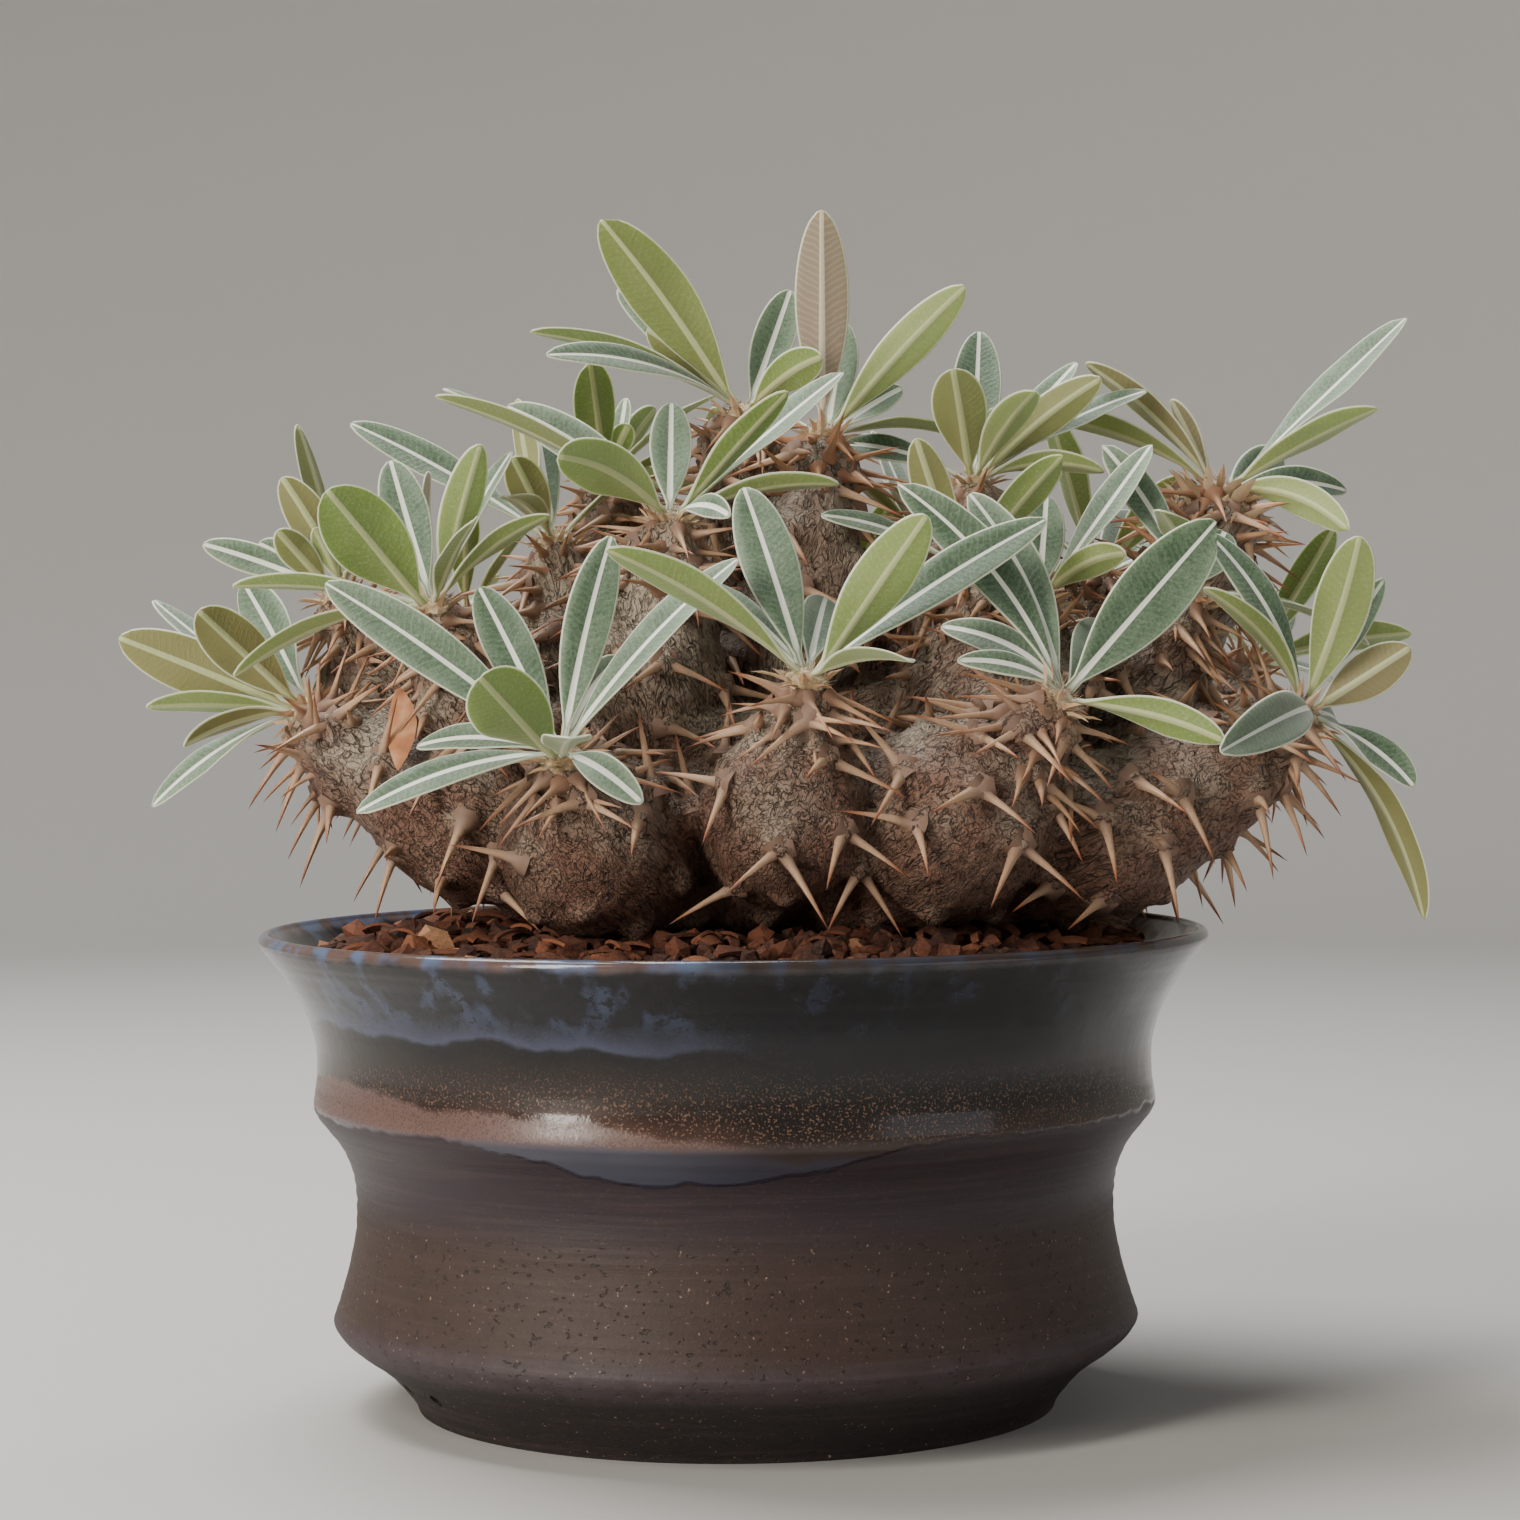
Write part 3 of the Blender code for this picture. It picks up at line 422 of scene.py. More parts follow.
def prism(name, foot, axis, radius, bottom, top, sides):
    """A prism about the axis through foot; radius, bottom and top are in millimetres."""
    ring = [spoke * radius * MM for spoke in spokes(axis, sides)]
    verts = [foot + axis * height * MM + spoke for height in (bottom, top) for spoke in ring]
    faces = [tuple(range(sides)), tuple(range(sides, 2 * sides))]
    faces += [(k, (k + 1) % sides, sides + (k + 1) % sides, sides + k) for k in range(sides)]
    return outward(mesh_object(name, verts, faces))


def any_way(draw):
    """A unit vector in a random direction."""
    return Vector([draw.gauss(0, 1) for _ in range(3)]).normalized()


def tree_of(verts, faces):
    return BVHTree.FromPolygons([tuple(v) for v in verts], faces)


def tree_of_object(obj):
    faces = [face.vertices for face in obj.data.polygons]
    return tree_of([vert.co for vert in obj.data.vertices], faces)


class Pile:
    """Many small closed shells gathered into one mesh, with named values kept for each vertex."""

    def __init__(self, *names):
        self.verts, self.faces = [], []
        self.values = {name: [] for name in names}

    def add(self, verts, faces, **values):
        start = len(self.verts)
        self.verts += verts
        self.faces += [tuple(start + k for k in face) for face in faces]
        for name, value in values.items():
            self.values[name] += value if isinstance(value, list) else [value] * len(verts)

    def to_object(self, name):
        made = outward(mesh_object(name, self.verts, self.faces))
        for key, values in self.values.items():
            store(made, key, values)
        return made


def store(obj, name, values):
    """Keeps three numbers for each vertex as a named attribute that a material can read."""
    kept = obj.data.attributes.new(name, "FLOAT_VECTOR", "POINT")
    kept.data.foreach_set("vector", np.array(values, np.float32).ravel())


def place(obj, material, slot, *nodes, crease=50):
    """Puts a finished piece in the frame: its material and the CAD nodes it stands for. The slot is not
    used.
    """
    obj.location = POT_AXIS
    obj.data.materials.clear()
    obj.data.materials.append(material)
    obj.data.shade_smooth()
    obj.data.set_sharp_from_angle(angle=math.radians(crease))
    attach(obj, "root")
    if nodes:
        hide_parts(*nodes)


# Layout of limbs and leaves, as in the CAD solids

def seen(across, up, depth):
    """The point depth behind the axis plane that is seen at (across, up) from the front."""
    on_plane = Vector((across * MM, 0.0, up * MM))
    return EYE + (on_plane - EYE) * (1 + depth * MM / -EYE.y)


def from_axis(point):
    """How far a point lies from the pot's axis, in millimetres."""
    return math.hypot(point.x, point.y) / MM


def soil_height(radius):
    """How high the soil stands at this radius, in millimetres, before its roughness."""
    known = [(INNER_PROFILE[1][0], SOIL_AT_WALL), *SOIL_DOME, (0.0, SOIL_DOME[-1][1])]
    for (outer, low), (inner, high) in zip(known, known[1:]):
        if radius >= inner:
            return low + (high - low) * min(1.0, (outer - radius) / (outer - inner))
    return known[-1][1]


def limb_path(name):
    """[(centre, radius)] from the heart of the caudex along one limb to its crown, closely spaced."""
    limb = LIMBS[name]
    knees = [(seen(*knee[:3]), knee[3]) for knee in limb.knees]
    crown = seen(*limb.crown)
    first = knees[0][0]
    root = Vector((first.x * 0.4, first.y * 0.4, ROOT_HEIGHT * MM))
    axis = (crown - knees[-1][0]).normalized()
    marks = [(root, knees[0][1]), *knees, (crown - axis * limb.neck * 1.5 * MM, limb.neck * 1.12)]
    marks.append((crown - axis * limb.neck * 0.7 * MM, limb.neck))
    path = []
    for (start, r0), (end, r1) in zip(marks, marks[1:]):
        steps = max(2, round((end - start).length / (LIMB_STEP * MM)))
        for step in range(steps):
            share = step / steps
            ease = share * share * (3 - 2 * share)
            path.append((start.lerp(end, share), (r0 + (r1 - r0) * ease) * MM))
    path.append((marks[-1][0], marks[-1][1] * MM))
    return path


def crown_frame(name):
    """(place, axis) of the crown at the end of a limb."""
    limb = LIMBS[name]
    crown = seen(*limb.crown)
    return crown, (crown - seen(*limb.knees[-1][:3])).normalized()


def crown_spots():
    return [crown_frame(name)[0] for name in LIMBS]


def heart_balls():
    return [(Vector((x, y, z)) * MM, radius * MM) for x, y, z, radius in HEART]


def soil_cutter(lift, sides):
    """What the body may not enter: the soil outside the pit and the rim, raised by lift."""
    reach = PLUG_RADIUS - 1.0
    known = [(reach, soil_height(reach)), *SOIL_DOME[2::-2], (78.0, 86.5), (CUTTER_RADIUS, RIM_HEIGHT)]
    raised = [(radius, height + lift) for radius, height in known]
    bottom = [(CUTTER_RADIUS, CUTTER_BOTTOM), (reach, CUTTER_BOTTOM)]
    return turned("soil_cutter", [*bottom, *raised], sides)


def ball(detail):
    """(verts, faces) of a unit ball of triangles."""
    shell = bmesh.new()
    bmesh.ops.create_icosphere(shell, subdivisions=detail, radius=1.0)
    verts = [vert.co.copy() for vert in shell.verts]
    faces = [tuple(vert.index for vert in face.verts) for face in shell.faces]
    shell.free()
    return verts, faces


def swollen(balls, voxel, rounds, detail):
    """One skin over many balls, on a grid of voxel millimetres and smoothed in rounds."""
    points, faces = map(np.array, ball(detail))
    verts = np.concatenate([points * radius + np.array(centre) for centre, radius in balls])
    sides = np.concatenate([faces + len(points) * k for k in range(len(balls))])
    body = mesh_object("caudex", verts.tolist(), sides.tolist())
    skin = body.modifiers.new("skin", "REMESH")
    skin.mode = "VOXEL"
    skin.voxel_size = voxel * MM
    soften = body.modifiers.new("soften", "SMOOTH")
    soften.factor = 0.5
    soften.iterations = rounds
    return bake(body)


def plain_body(paths):
    """The caudex as its CAD solid is made, less its spines and root."""
    balls = [*heart_balls(), *(ball for path in paths.values() for ball in path)]
    body = swollen(balls, VOXEL, 4, 2)
    thin = body.modifiers.new("thin", "DECIMATE")
    thin.ratio = BODY_FACES / (2 * len(body.data.polygons))
    bake(body)
    boolean(body, [soil_cutter(SOIL_ROUGHNESS + CLEARANCE, PLAIN_SIDES // 2)], "DIFFERENCE")
    width = CROWN_RADIUS + CLEARANCE / math.cos(math.pi / 6)
    places = [crown_frame(name) for name in LIMBS]
    sockets = [prism("socket", *place, width, -CROWN_SINK - CLEARANCE, 9.0, 6) for place in places]
    return keep_largest(boolean(body, sockets, "DIFFERENCE"))


def tubercles(paths, skin, spacing_at, found=()):
    """[(foot, outward, along)] of the tubercles on the body that skin is the tree of.

    They join those already found, and spacing_at gives the least distance between two of them.
    """
    draw = random.Random(11)
    spots = []
    for path in paths.values():
        for (centre, radius), (after, _) in zip(path, path[1:]):
            along = (after - centre).normalized()
            area = 2 * math.pi * radius * (after - centre).length / MM**2
            for _ in range(max(1, round(area / TRY_AREA))):
                side = any_way(draw)
                spots.append((centre + (after - centre) * draw.random() + side * radius, side, along))
    draw.shuffle(spots)
    crowns = crown_spots()
    found = list(found)
    for spot, side, along in spots:
        foot, normal, _, distance = skin.find_nearest(spot)
        outside = distance < 2.2 * MM and normal.dot(side) > 0.5
        high = foot.z > (soil_height(from_axis(foot)) + 3.0) * MM
        beside_crown = all((foot - crown).length > (CROWN_RADIUS + 2.6) * MM for crown in crowns)
        spacing = spacing_at(foot)
        apart = all((foot - other).length > spacing for other, _, _ in found)
        if outside and high and beside_crown and apart:
            found.append((foot, normal, along))
    return found


def spine_aim(foot, side, along, hand):
    """(direction, length) of one of the two spines on a tubercle."""
    across = side.cross(along + UP * 0.5).normalized()
    across.rotate(Matrix.Rotation(1.4 * noise.noise(foot * 150), 3, side))
    aim = side * math.cos(SPINE_SPLAY) + across * math.sin(SPINE_SPLAY) * hand
    aim = (aim - along * 0.12 + Vector((0, 0, -SPINE_DROOP))).normalized()
    wobble = noise.noise(foot * 400 + Vector((hand, 0, 0)))
    return aim, SPINE_LENGTH * (1 + 0.28 * wobble) * MM


def spine_faces(foot, aim, length, grow=0.0):
    """(verts, faces) of a three-sided spike with its root sunk in the body."""
    root = foot - aim * SPINE_ROOT * MM
    thick = SPINE_RADIUS * MM * 1.25 + grow
    verts = [root + spoke * thick for spoke in spokes(aim, 3)]
    verts.append(foot + aim * (length + grow))
    return verts, [(0, 1, 2), (0, 1, 3), (1, 2, 3), (2, 0, 3)]


def spine_clear(foot, aim, length, skin, blades):
    """Whether a spine stands free: of the other limbs, the leaves, the soil and the pot's rim."""
    start = foot + aim * 1.5 * MM
    if skin.ray_cast(start, aim, length + 1.0 * MM)[0] is not None:
        return False
    tip = foot + aim * length
    reach = from_axis(tip)
    floor = RIM_HEIGHT + 1.5 if 60 < reach < RIM_RADIUS + RIM_MARGIN else soil_height(reach) + 1.5
    if reach < RIM_RADIUS + RIM_MARGIN and tip.z < floor * MM:
        return False
    own = tree_of(*spine_faces(foot, aim, length, 0.5 * MM))
    return not any(own.overlap(blade_tree) for blade_tree in blades)


def blade_width(share):
    """Width of the blade at this share of its length, against its widest."""
    if not 0 < share < 1:
        return PETIOLE_SHARE * (1 - share)
    swell = math.sin(math.pi * share**1.3) ** (0.5 + 0.35 * (1 - share) ** 2)
    return max(PETIOLE_SHARE * (1 - share), swell)


def blade_line(crown, axis, tip, share):
    """(place, tangent) on a leaf's midrib, from the crown's flank in a bend to its tip."""
    reach = tip - crown
    steep = reach.normalized().dot(axis)
    out = (reach - axis * reach.dot(axis)).normalized()
    root = crown + axis * (1.9 + 0.8 * steep) * MM + out * 2.0 * MM
    bend = root + reach * 0.45 + axis * reach.length * ARCH * (1 - max(0.0, steep))
    place = root * (1 - share) ** 2 + bend * 2 * share * (1 - share) + tip * share**2
    tangent = (bend - root) * (1 - share) + (tip - bend) * share
    return place, tangent.normalized()


def upper_side(crown, axis, tip, share, roll):
    """Where a leaf's upper face looks: towards the crown's axis, then rolled about the midrib."""
    out = (tip - crown) - axis * (tip - crown).dot(axis)
    _, tangent = blade_line(crown, axis, tip, share)
    inward = axis - out.normalized() * 0.45
    over = (inward - tangent * inward.dot(tangent)).normalized()
    over.rotate(Matrix.Rotation(roll * min(1.0, 0.4 + share), 3, tangent))
    return over


def roll_to_show(crown, axis, tip, shown, side):
    """The roll about the midrib that shows this side, and this share of the width, to the front."""
    place, tangent = blade_line(crown, axis, tip, 0.6)
    to_eye = (EYE - place).normalized()
    over = upper_side(crown, axis, tip, 0.6, 0.0)
    level, turned_side = to_eye.dot(over), to_eye.dot(tangent.cross(over))
    most = math.hypot(level, turned_side)
    lean = math.acos(max(-1.0, min(1.0, side * shown / most)))
    rolls = [math.atan2(turned_side, level) + hand * lean for hand in (-1, 1)]
    rolls = [math.remainder(roll, 2 * math.pi) for roll in rolls]
    return max(-ROLL_LIMIT, min(ROLL_LIMIT, min(rolls, key=abs)))


def blade(crown, axis, tip, width, roll, grow=0.0):
    """(verts, faces) of one folded blade with a pointed root; grow makes it larger all round."""
    root, tangent = blade_line(crown, axis, tip, 0.0)
    verts, faces = [root - tangent * BLADE_ROOT * MM], []
    for share in BLADE_STATIONS:
        place, tangent = blade_line(crown, axis, tip, share)
        over = upper_side(crown, axis, tip, share, roll)
        across = tangent.cross(over)
        half = width * blade_width(share) / 2 * MM + grow
        lift = over * half * math.sin(BLADE_FOLD)
        thick = over * (BLADE_THICKNESS * MM / 2 * (1 - 0.35 * share) + grow)
        verts += [place - across * half + lift, place + thick]
        verts += [place + across * half + lift, place - thick]
    verts.append(tip)
    last = len(verts) - 1
    for k in range(4):
        after = (k + 1) % 4
        faces.append((0, 1 + after, 1 + k))
        for ring in range(1, last - 4, 4):
            faces.append((ring + k, ring + after, ring + 4 + after))
            faces.append((ring + k, ring + 4 + after, ring + 4 + k))
        faces.append((last - 4 + k, last - 4 + after, last))
    return verts, faces


def past_the_stalk(verts, faces):
    """The faces of a blade from its first station on, where leaves of one head no longer meet."""
    return verts, [face for face in faces if 0 not in face]


def leaf_clear(name, leaf, placed, skin, cross_own):
    """Whether a leaf stands clear of the other leaves, of the caudex and of the pot.

    With cross_own it may cross leaves of its own head.
    """
    shape = blade(*leaf, grow=LEAF_GAP * MM)
    whole, outer = tree_of(*shape), tree_of(*past_the_stalk(*shape))
    if whole.overlap(skin):
        return False
    for other, leaf_tree, outer_tree in placed:
        if other != name and whole.overlap(leaf_tree):
            return False
        if other == name and not cross_own and outer.overlap(outer_tree):
            return False
    low = (RIM_HEIGHT + 2) * MM
    near = (RIM_RADIUS + RIM_MARGIN) * MM
    return not any(vert.z < low and math.hypot(vert.x, vert.y) < near for vert in shape[0])


def seen_leaf(name, tip, shift):
    """(crown, axis, tip, width, roll) of a leaf of the table, moved in depth by shift."""
    crown, axis = crown_frame(name)
    end = seen(tip.across, tip.up, LIMBS[name].crown[2] + tip.depth + shift)
    width = max(tip.width, 0.13 * (end - crown).length / MM + 2.5)
    roll = roll_to_show(crown, axis, end, tip.width / width, tip.side)
    return crown, axis, end, width, roll


def more_leaves(name, taken):
    """The leaves that fill the free side of a head, by the golden angle and a seeded draw."""
    crown, axis = crown_frame(name)
    draw = random.Random(name)
    found = []
    turn = draw.uniform(0, 2 * math.pi)
    for _ in range(60):
        turn += GOLDEN_ANGLE
        lean = draw.uniform(*MORE_LEAN)
        aim = axis * math.cos(lean) + beside(axis, turn) * math.sin(lean)
        length = draw.uniform(*MORE_LENGTH)
        width = draw.uniform(*MORE_WIDTH)
        roll = draw.uniform(-0.5, 0.5)
        apart = all(aim.angle(other) > math.radians(24) for other in taken)
        if apart and len(found) < LIMBS[name].more_leaves:
            taken.append(aim)
            found.append((crown, axis, crown + aim * length * MM, width, roll))
    return found


def lay_out_leaves(skin):
    """{head: [(leaf, tint)]}, each leaf moved in depth until it is clear of the rest."""
    heads, placed = {name: [] for name in LIMBS}, []

    def add(name, choices, may_cross, tint=0.0):
        for cross_own in (False, True) if may_cross else (False,):
            for leaf in choices:
                if leaf_clear(name, leaf, placed, skin, cross_own):
                    shape = blade(*leaf)
                    placed.append((name, tree_of(*shape), tree_of(*past_the_stalk(*shape))))
                    heads[name].append((leaf, tint))
                    return

    for name, rows in SEEN_LEAVES.items():
        for tip in itertools.starmap(Tip, rows):
            add(name, [seen_leaf(name, tip, shift) for shift in DEPTH_SHIFTS], True, tip.tint)
    for name in LIMBS:
        taken = [(leaf[2] - leaf[0]).normalized() for leaf, _ in heads[name]]
        for leaf in more_leaves(name, taken):
            add(name, [leaf], False)
    return heads


@functools.lru_cache(maxsize=None)
def layout():
    """(limb paths, tree of the plain caudex, leaves of each head)."""
    paths = {name: limb_path(name) for name in LIMBS}
    body = plain_body(paths)
    skin = tree_of_object(body)
    bpy.data.objects.remove(body)
    return paths, skin, lay_out_leaves(skin)


@functools.lru_cache(maxsize=None)
def spine_sites():
    """Tubercles of the finished plant: those of the CAD solid first, then others between them."""
    paths, skin, _ = layout()
    settings = bpy.context.scene.plant_caudex
    crowns = crown_spots()

    def spacing_at(foot):
        from_crown = min((foot - crown).length for crown in crowns)
        share = min(1.0, max(0.0, (from_crown - 8 * MM) / (18 * MM)))
        return settings.crowding + (settings.spacing - settings.crowding) * share

    wide = tubercles(paths, skin, lambda foot: PLAIN_SPACING * MM)
    return tubercles(paths, skin, spacing_at, wide)


# Materials

# The property that the second word of a node's kind sets.
NODE_WORDS = {
    "Math": "operation",
    "VectorMath": "operation",
    "Mix": "data_type",
    "MapRange": "interpolation_type",
}
MIX_SOCKETS = {"RGBA": (0, 6, 7), "FLOAT": (0, 2, 3)}


def feed(tree, socket, value):
    """Feeds a socket from another output, or sets it to a plain value or an sRGB hex colour."""
    if isinstance(value, bpy.types.NodeSocket):
        tree.links.new(value, socket)
    else:
        socket.default_value = linear(value) if isinstance(value, str) else value


def add_node(tree, kind, *values, out=0, **settings):
    """Adds a node with its settings and links, and returns one of its outputs, or with out=None all.

    A second word in kind is the node's operation, data type or interpolation. Values feed its sockets
    in order, and a setting with a capital letter feeds the socket of that name.
    """
    kind, _, word = kind.partition(" ")
    made = tree.nodes.new("ShaderNode" + kind)
    if word:
        setattr(made, NODE_WORDS[kind], word)
    for socket, value in zip(MIX_SOCKETS.get(word, range(len(values))), values):
        feed(tree, made.inputs[socket], value)
    for key, value in settings.items():
        if key == "stops":
            elements = made.color_ramp.elements
            while len(elements) < len(value):
                elements.new(0.5)
            for element, (position, code) in zip(elements, value):
                element.position = position
                element.color = linear(code)
        elif key[0].isupper():
            feed(tree, made.inputs[key], value)
        else:
            setattr(made, key, value)
    if out is None:
        return made.outputs
    return made.outputs[2 if word == "RGBA" else out]


def new_material(name):
    """(material, function that adds a node to it)."""
    material = bpy.data.materials.new(name)
    material.use_nodes = True
    return material, functools.partial(add_node, material.node_tree)


def paint(material, colour, normal=None, **values):
    """Feeds the material's shader with its colour, its normal and other values by socket name."""
    tree = material.node_tree
    sockets = tree.nodes["Principled BSDF"].inputs
    feed(tree, sockets["Base Color"], colour)
    if normal is not None:
        feed(tree, sockets["Normal"], normal)
    for key, value in values.items():
        feed(tree, sockets[key.replace("_", " ")], value)
    return material


def kept_values(add, name):
    """The three numbers that a piece keeps for each vertex under this name."""
    return add("SeparateXYZ", add("Attribute", attribute_name=name, out="Vector"), out=None)


def laid_over(add, colour, *layers):
    """The colour with others laid over it, each where its cover lets it show.

    A layer is (cover, colour), (cover, share, colour) where the cover is only in part, or
    (value, low, high, share, colour) where it rises to its share as a value goes from low to high.
    """
    for cover, *fade, over in layers:
        if len(fade) == 3:
            low, high, share = fade
            cover = add("MapRange SMOOTHSTEP", cover, low, high, 0.0, share)
        elif fade:
            cover = add("Math MULTIPLY", cover, *fade)
        colour = add("Mix RGBA", cover, colour, over)
    return colour


def felted_leaf(settings):
    """Living leaf blade, felted: white hairs over green, a white midrib and a thick pale margin."""
    material, add = new_material("felted_leaf")
    rib, margin, run = kept_values(add, "blade")
    side, tone, tint = kept_values(add, "leaf")
    spot = add("TexCoord", out="Object")
    upper = add("MapRange SMOOTHSTEP", side, -0.2, 0.2, 0.0, 1.0)
    cloud = add("TexNoise", Vector=spot, Scale=180.0, Detail=3.0)
    # Side veins about 1.4 mm apart sweep from the midrib to the margin, and stand out as fine ridges.
    sweep = add("Math MULTIPLY_ADD", rib, -0.55, add("Math MULTIPLY_ADD", cloud, 3.0, run))
    phase = add("Math SINE", add("Math MULTIPLY", sweep, 2 * math.pi / VEIN_SPACING))
    vein = add("Math POWER", add("Math MULTIPLY_ADD", phase, 0.5, 0.5), 4.0)
    # The hairs of the felt are finer than the render shows, so they are specks 0.4 mm across.
    felt = add("TexNoise", Vector=spot, Scale=1900.0, Detail=2.0, Roughness=0.6)
    bloom = add("Math MULTIPLY_ADD", tone, 0.5, add("Math MULTIPLY_ADD", cloud, 0.9, -1.1))
    bloom = add("Math MULTIPLY_ADD", felt, 1.5, bloom)
    bloom = add("Math ADD", bloom, add("MapRange SMOOTHSTEP", margin, 2.2, 0.4, 0.0, 0.35))
    dense = add("MapRange LINEAR", bloom, 0.0, 1.1, 0.0, 1.0)
    # A leaf's tint turns it olive up to 1, and russet from there on.
    olive = add("MapRange SMOOTHSTEP", tint, 0.0, 1.0, 0.0, 1.0)
    russet = add("MapRange SMOOTHSTEP", tint, 1.0, 1.7, 0.0, 1.0)
    top = laid_over(
        add, settings.upper, (dense, settings.bloom), (vein, 0.09, "#a9b8a2"), (olive, 0.35, "#77744f"),
        (russet, "#a8957a"),
    )
    below = laid_over(
        add, settings.under, (tone, "#92a160"), (vein, 0.12, "#a9b56a"),
        (felt, 0.45, 0.8, 0.4, "#b0b78c"), (olive, "#857e4e"),
        (russet, laid_over(add, "#94826f", (vein, 0.35, "#c0b19c"))),
    )
    # The midrib is 1.4 mm wide at the root, a little wider below than above, and narrows to the tip.
    reach = add("Math MULTIPLY_ADD", run, -0.009, add("Math MULTIPLY_ADD", upper, -0.14, 0.84))
    near_rib = add("MapRange SMOOTHSTEP", add("Math DIVIDE", rib, reach), 1.0, 0.75, 0.0, 1.0)
    near_rib = add("Math MULTIPLY", near_rib, add("MapRange SMOOTHSTEP", margin, 0.2, 1.0, 0.0, 0.9))
    rib_colour = laid_over(add, "#bcc190", (russet, "#d2c8b2"), (upper, "#f1f2e6"))
    # The margin is rolled and fringed with hairs, which shows as a pale line 0.4 mm wide.
    colour = laid_over(
        add, below, (upper, top), (near_rib, rib_colour), (margin, 0.42, 0.2, 0.8, "#d9dcc4"),
    )
    relief = add("Math MULTIPLY_ADD", vein, 0.25, felt)
    bump = add("Bump", Strength=0.6, Distance=0.14 * MM, Height=relief)
    return paint(
        material, colour, bump, Roughness=0.6, Sheen_Weight=0.35, Sheen_Roughness=0.5,
        Subsurface_Weight=0.25, Subsurface_Radius=(1.0, 1.3, 0.4), Subsurface_Scale=1.1 * MM,
    )


def wrinkled_bark(settings):
    """Living bark, dry and wrinkled: grey and silky on top, red brown and matte on the flanks. The grey
    of the top is partly painted light, and painted shade darkens the bark between the limbs.
    """
    material, add = new_material("wrinkled_bark")
    spot = add("TexCoord", out="Object")
    open_sky_shade, near_spine, near_crown = kept_values(add, "bark")
    # The wrinkles run out from the heart along the limbs, 1.5 mm apart, and link up like a net.
    from_heart = add("VectorMath SUBTRACT", spot, HEART_CENTRE)
    nearer = add("Math DIVIDE", WRINKLE_REACH, add("VectorMath LENGTH", from_heart, out="Value"))
    along = add("VectorMath SCALE", from_heart, Scale=add("Math ADD", nearer, WRINKLE_FLOOR))
    warp = add("TexNoise", Vector=along, Scale=260.0, Detail=1.0, out="Color")
    bent = add("VectorMath MULTIPLY_ADD", warp, (0.003, 0.003, 0.003), along)
    wide = add("TexNoise", Vector=bent, Scale=380.0, Detail=2.0, Roughness=0.6)
    wide = add("Math SUBTRACT", wide, 0.5)
    narrow = add("Math SUBTRACT", add("TexNoise", Vector=bent, Scale=850.0, Detail=2.0), 0.5)
    deep = add("MapRange SMOOTHSTEP", add("Math ABSOLUTE", wide), 0.0, 0.035, 1.0, 0.0)
    fine = add("MapRange SMOOTHSTEP", add("Math ABSOLUTE", narrow), 0.0, 0.05, 1.0, 0.0)
    broken = add("MapRange SMOOTHSTEP", add("TexNoise", Vector=spot, Scale=210.0), 0.3, 0.55, 0.15, 1.0)
    deep = add("Math MULTIPLY", deep, broken)
    grain = add("TexNoise", Vector=spot, Scale=1300.0, Detail=3.0, Roughness=0.65)
    patch = add("TexNoise", Vector=spot, Scale=85.0, Detail=3.0)
    # Bark that faces up, and bark higher up, is painted paler and greyer, and low bark darker: painted
    # light and shade, laid with random patches over the red brown of the flanks.
    up_facing_light = add("SeparateXYZ", add("NewGeometry", out="Normal"), out=2)
    height = add("SeparateXYZ", spot, out=2)
    lift = add("MapRange LINEAR", height, 95 * MM, 150 * MM, -0.55, 0.45)
    uneven = add("Math MULTIPLY_ADD", patch, 1.6, -0.8)
    pale = add("Math ADD", uneven, add("Math MULTIPLY_ADD", up_facing_light, 0.55, lift))
    skin = add("MapRange SMOOTHSTEP", pale, -0.5, 0.75, 0.0, 1.0)
    colour = laid_over(
        add, settings.flank, (skin, settings.top), (patch, 0.56, 0.4, 0.4, "#6c3f2d"),
        (grain, 0.5, 0.75, 0.3, "#a8937f"), (near_spine, 0.5, "#a8927c"), (near_crown, 0.45, "#a98866"),
        # Where the limbs hide the sky the bark is darkened: painted shade.
        (fine, 0.45, "#3a261c"), (deep, 0.75, "#24160f"), (open_sky_shade, 0.5, 0.05, 0.8, "#2a1a12"),
    )
    relief = add("Math MULTIPLY_ADD", deep, -0.8, add("Math MULTIPLY_ADD", fine, -0.45, grain))
    bump = add("Bump", Strength=1.0, Distance=0.7 * MM, Height=relief)
    rough = add("MapRange LINEAR", skin, 0.0, 1.0, 0.62, 0.42)
    return paint(material, colour, bump, Roughness=rough)


def woody_spine(settings):
    """Living spine, woody: grey brown at its foot, pale tan in the middle and a polished brown tip."""
    material, add = new_material("woody_spine")
    along, tone, warmth = kept_values(add, "spine")
    grain = add("TexNoise", Vector=add("TexCoord", out="Object"), Scale=1700.0, Detail=2.0)
    stops = (
        (0.0, "#7a6152"), (0.1, "#8f7562"), (0.28, "#b8987b"), (0.58, settings.shaft),
        (0.84, settings.tip), (1.0, "#4c2a1a"),
    )
    colour = laid_over(
        add, add("ValToRGB", along, stops=stops), (tone, 0.6, "#7d5843"), (warmth, 0.5, "#bd7a45"),
        (grain, 0.5, 0.75, 0.35, "#84644b"),
    )
    bump = add("Bump", Strength=0.3, Distance=0.12 * MM, Height=grain)
    rough = add("MapRange LINEAR", along, 0.0, 0.5, 0.7, 0.42)
    return paint(material, colour, bump, Roughness=rough)


def crown_wool():
    """Plant wool, matted: cream hairs that soften the growing tips."""
    material, add = new_material("crown_wool")
    clump = add("TexNoise", Vector=add("TexCoord", out="Object"), Scale=520.0, Detail=3.0)
    colour = add("ValToRGB", clump, stops=((0.3, "#80684a"), (0.5, "#b39c74"), (0.7, "#ddd1b6")))
    return paint(material, colour, Roughness=0.9, Sheen_Weight=0.4)


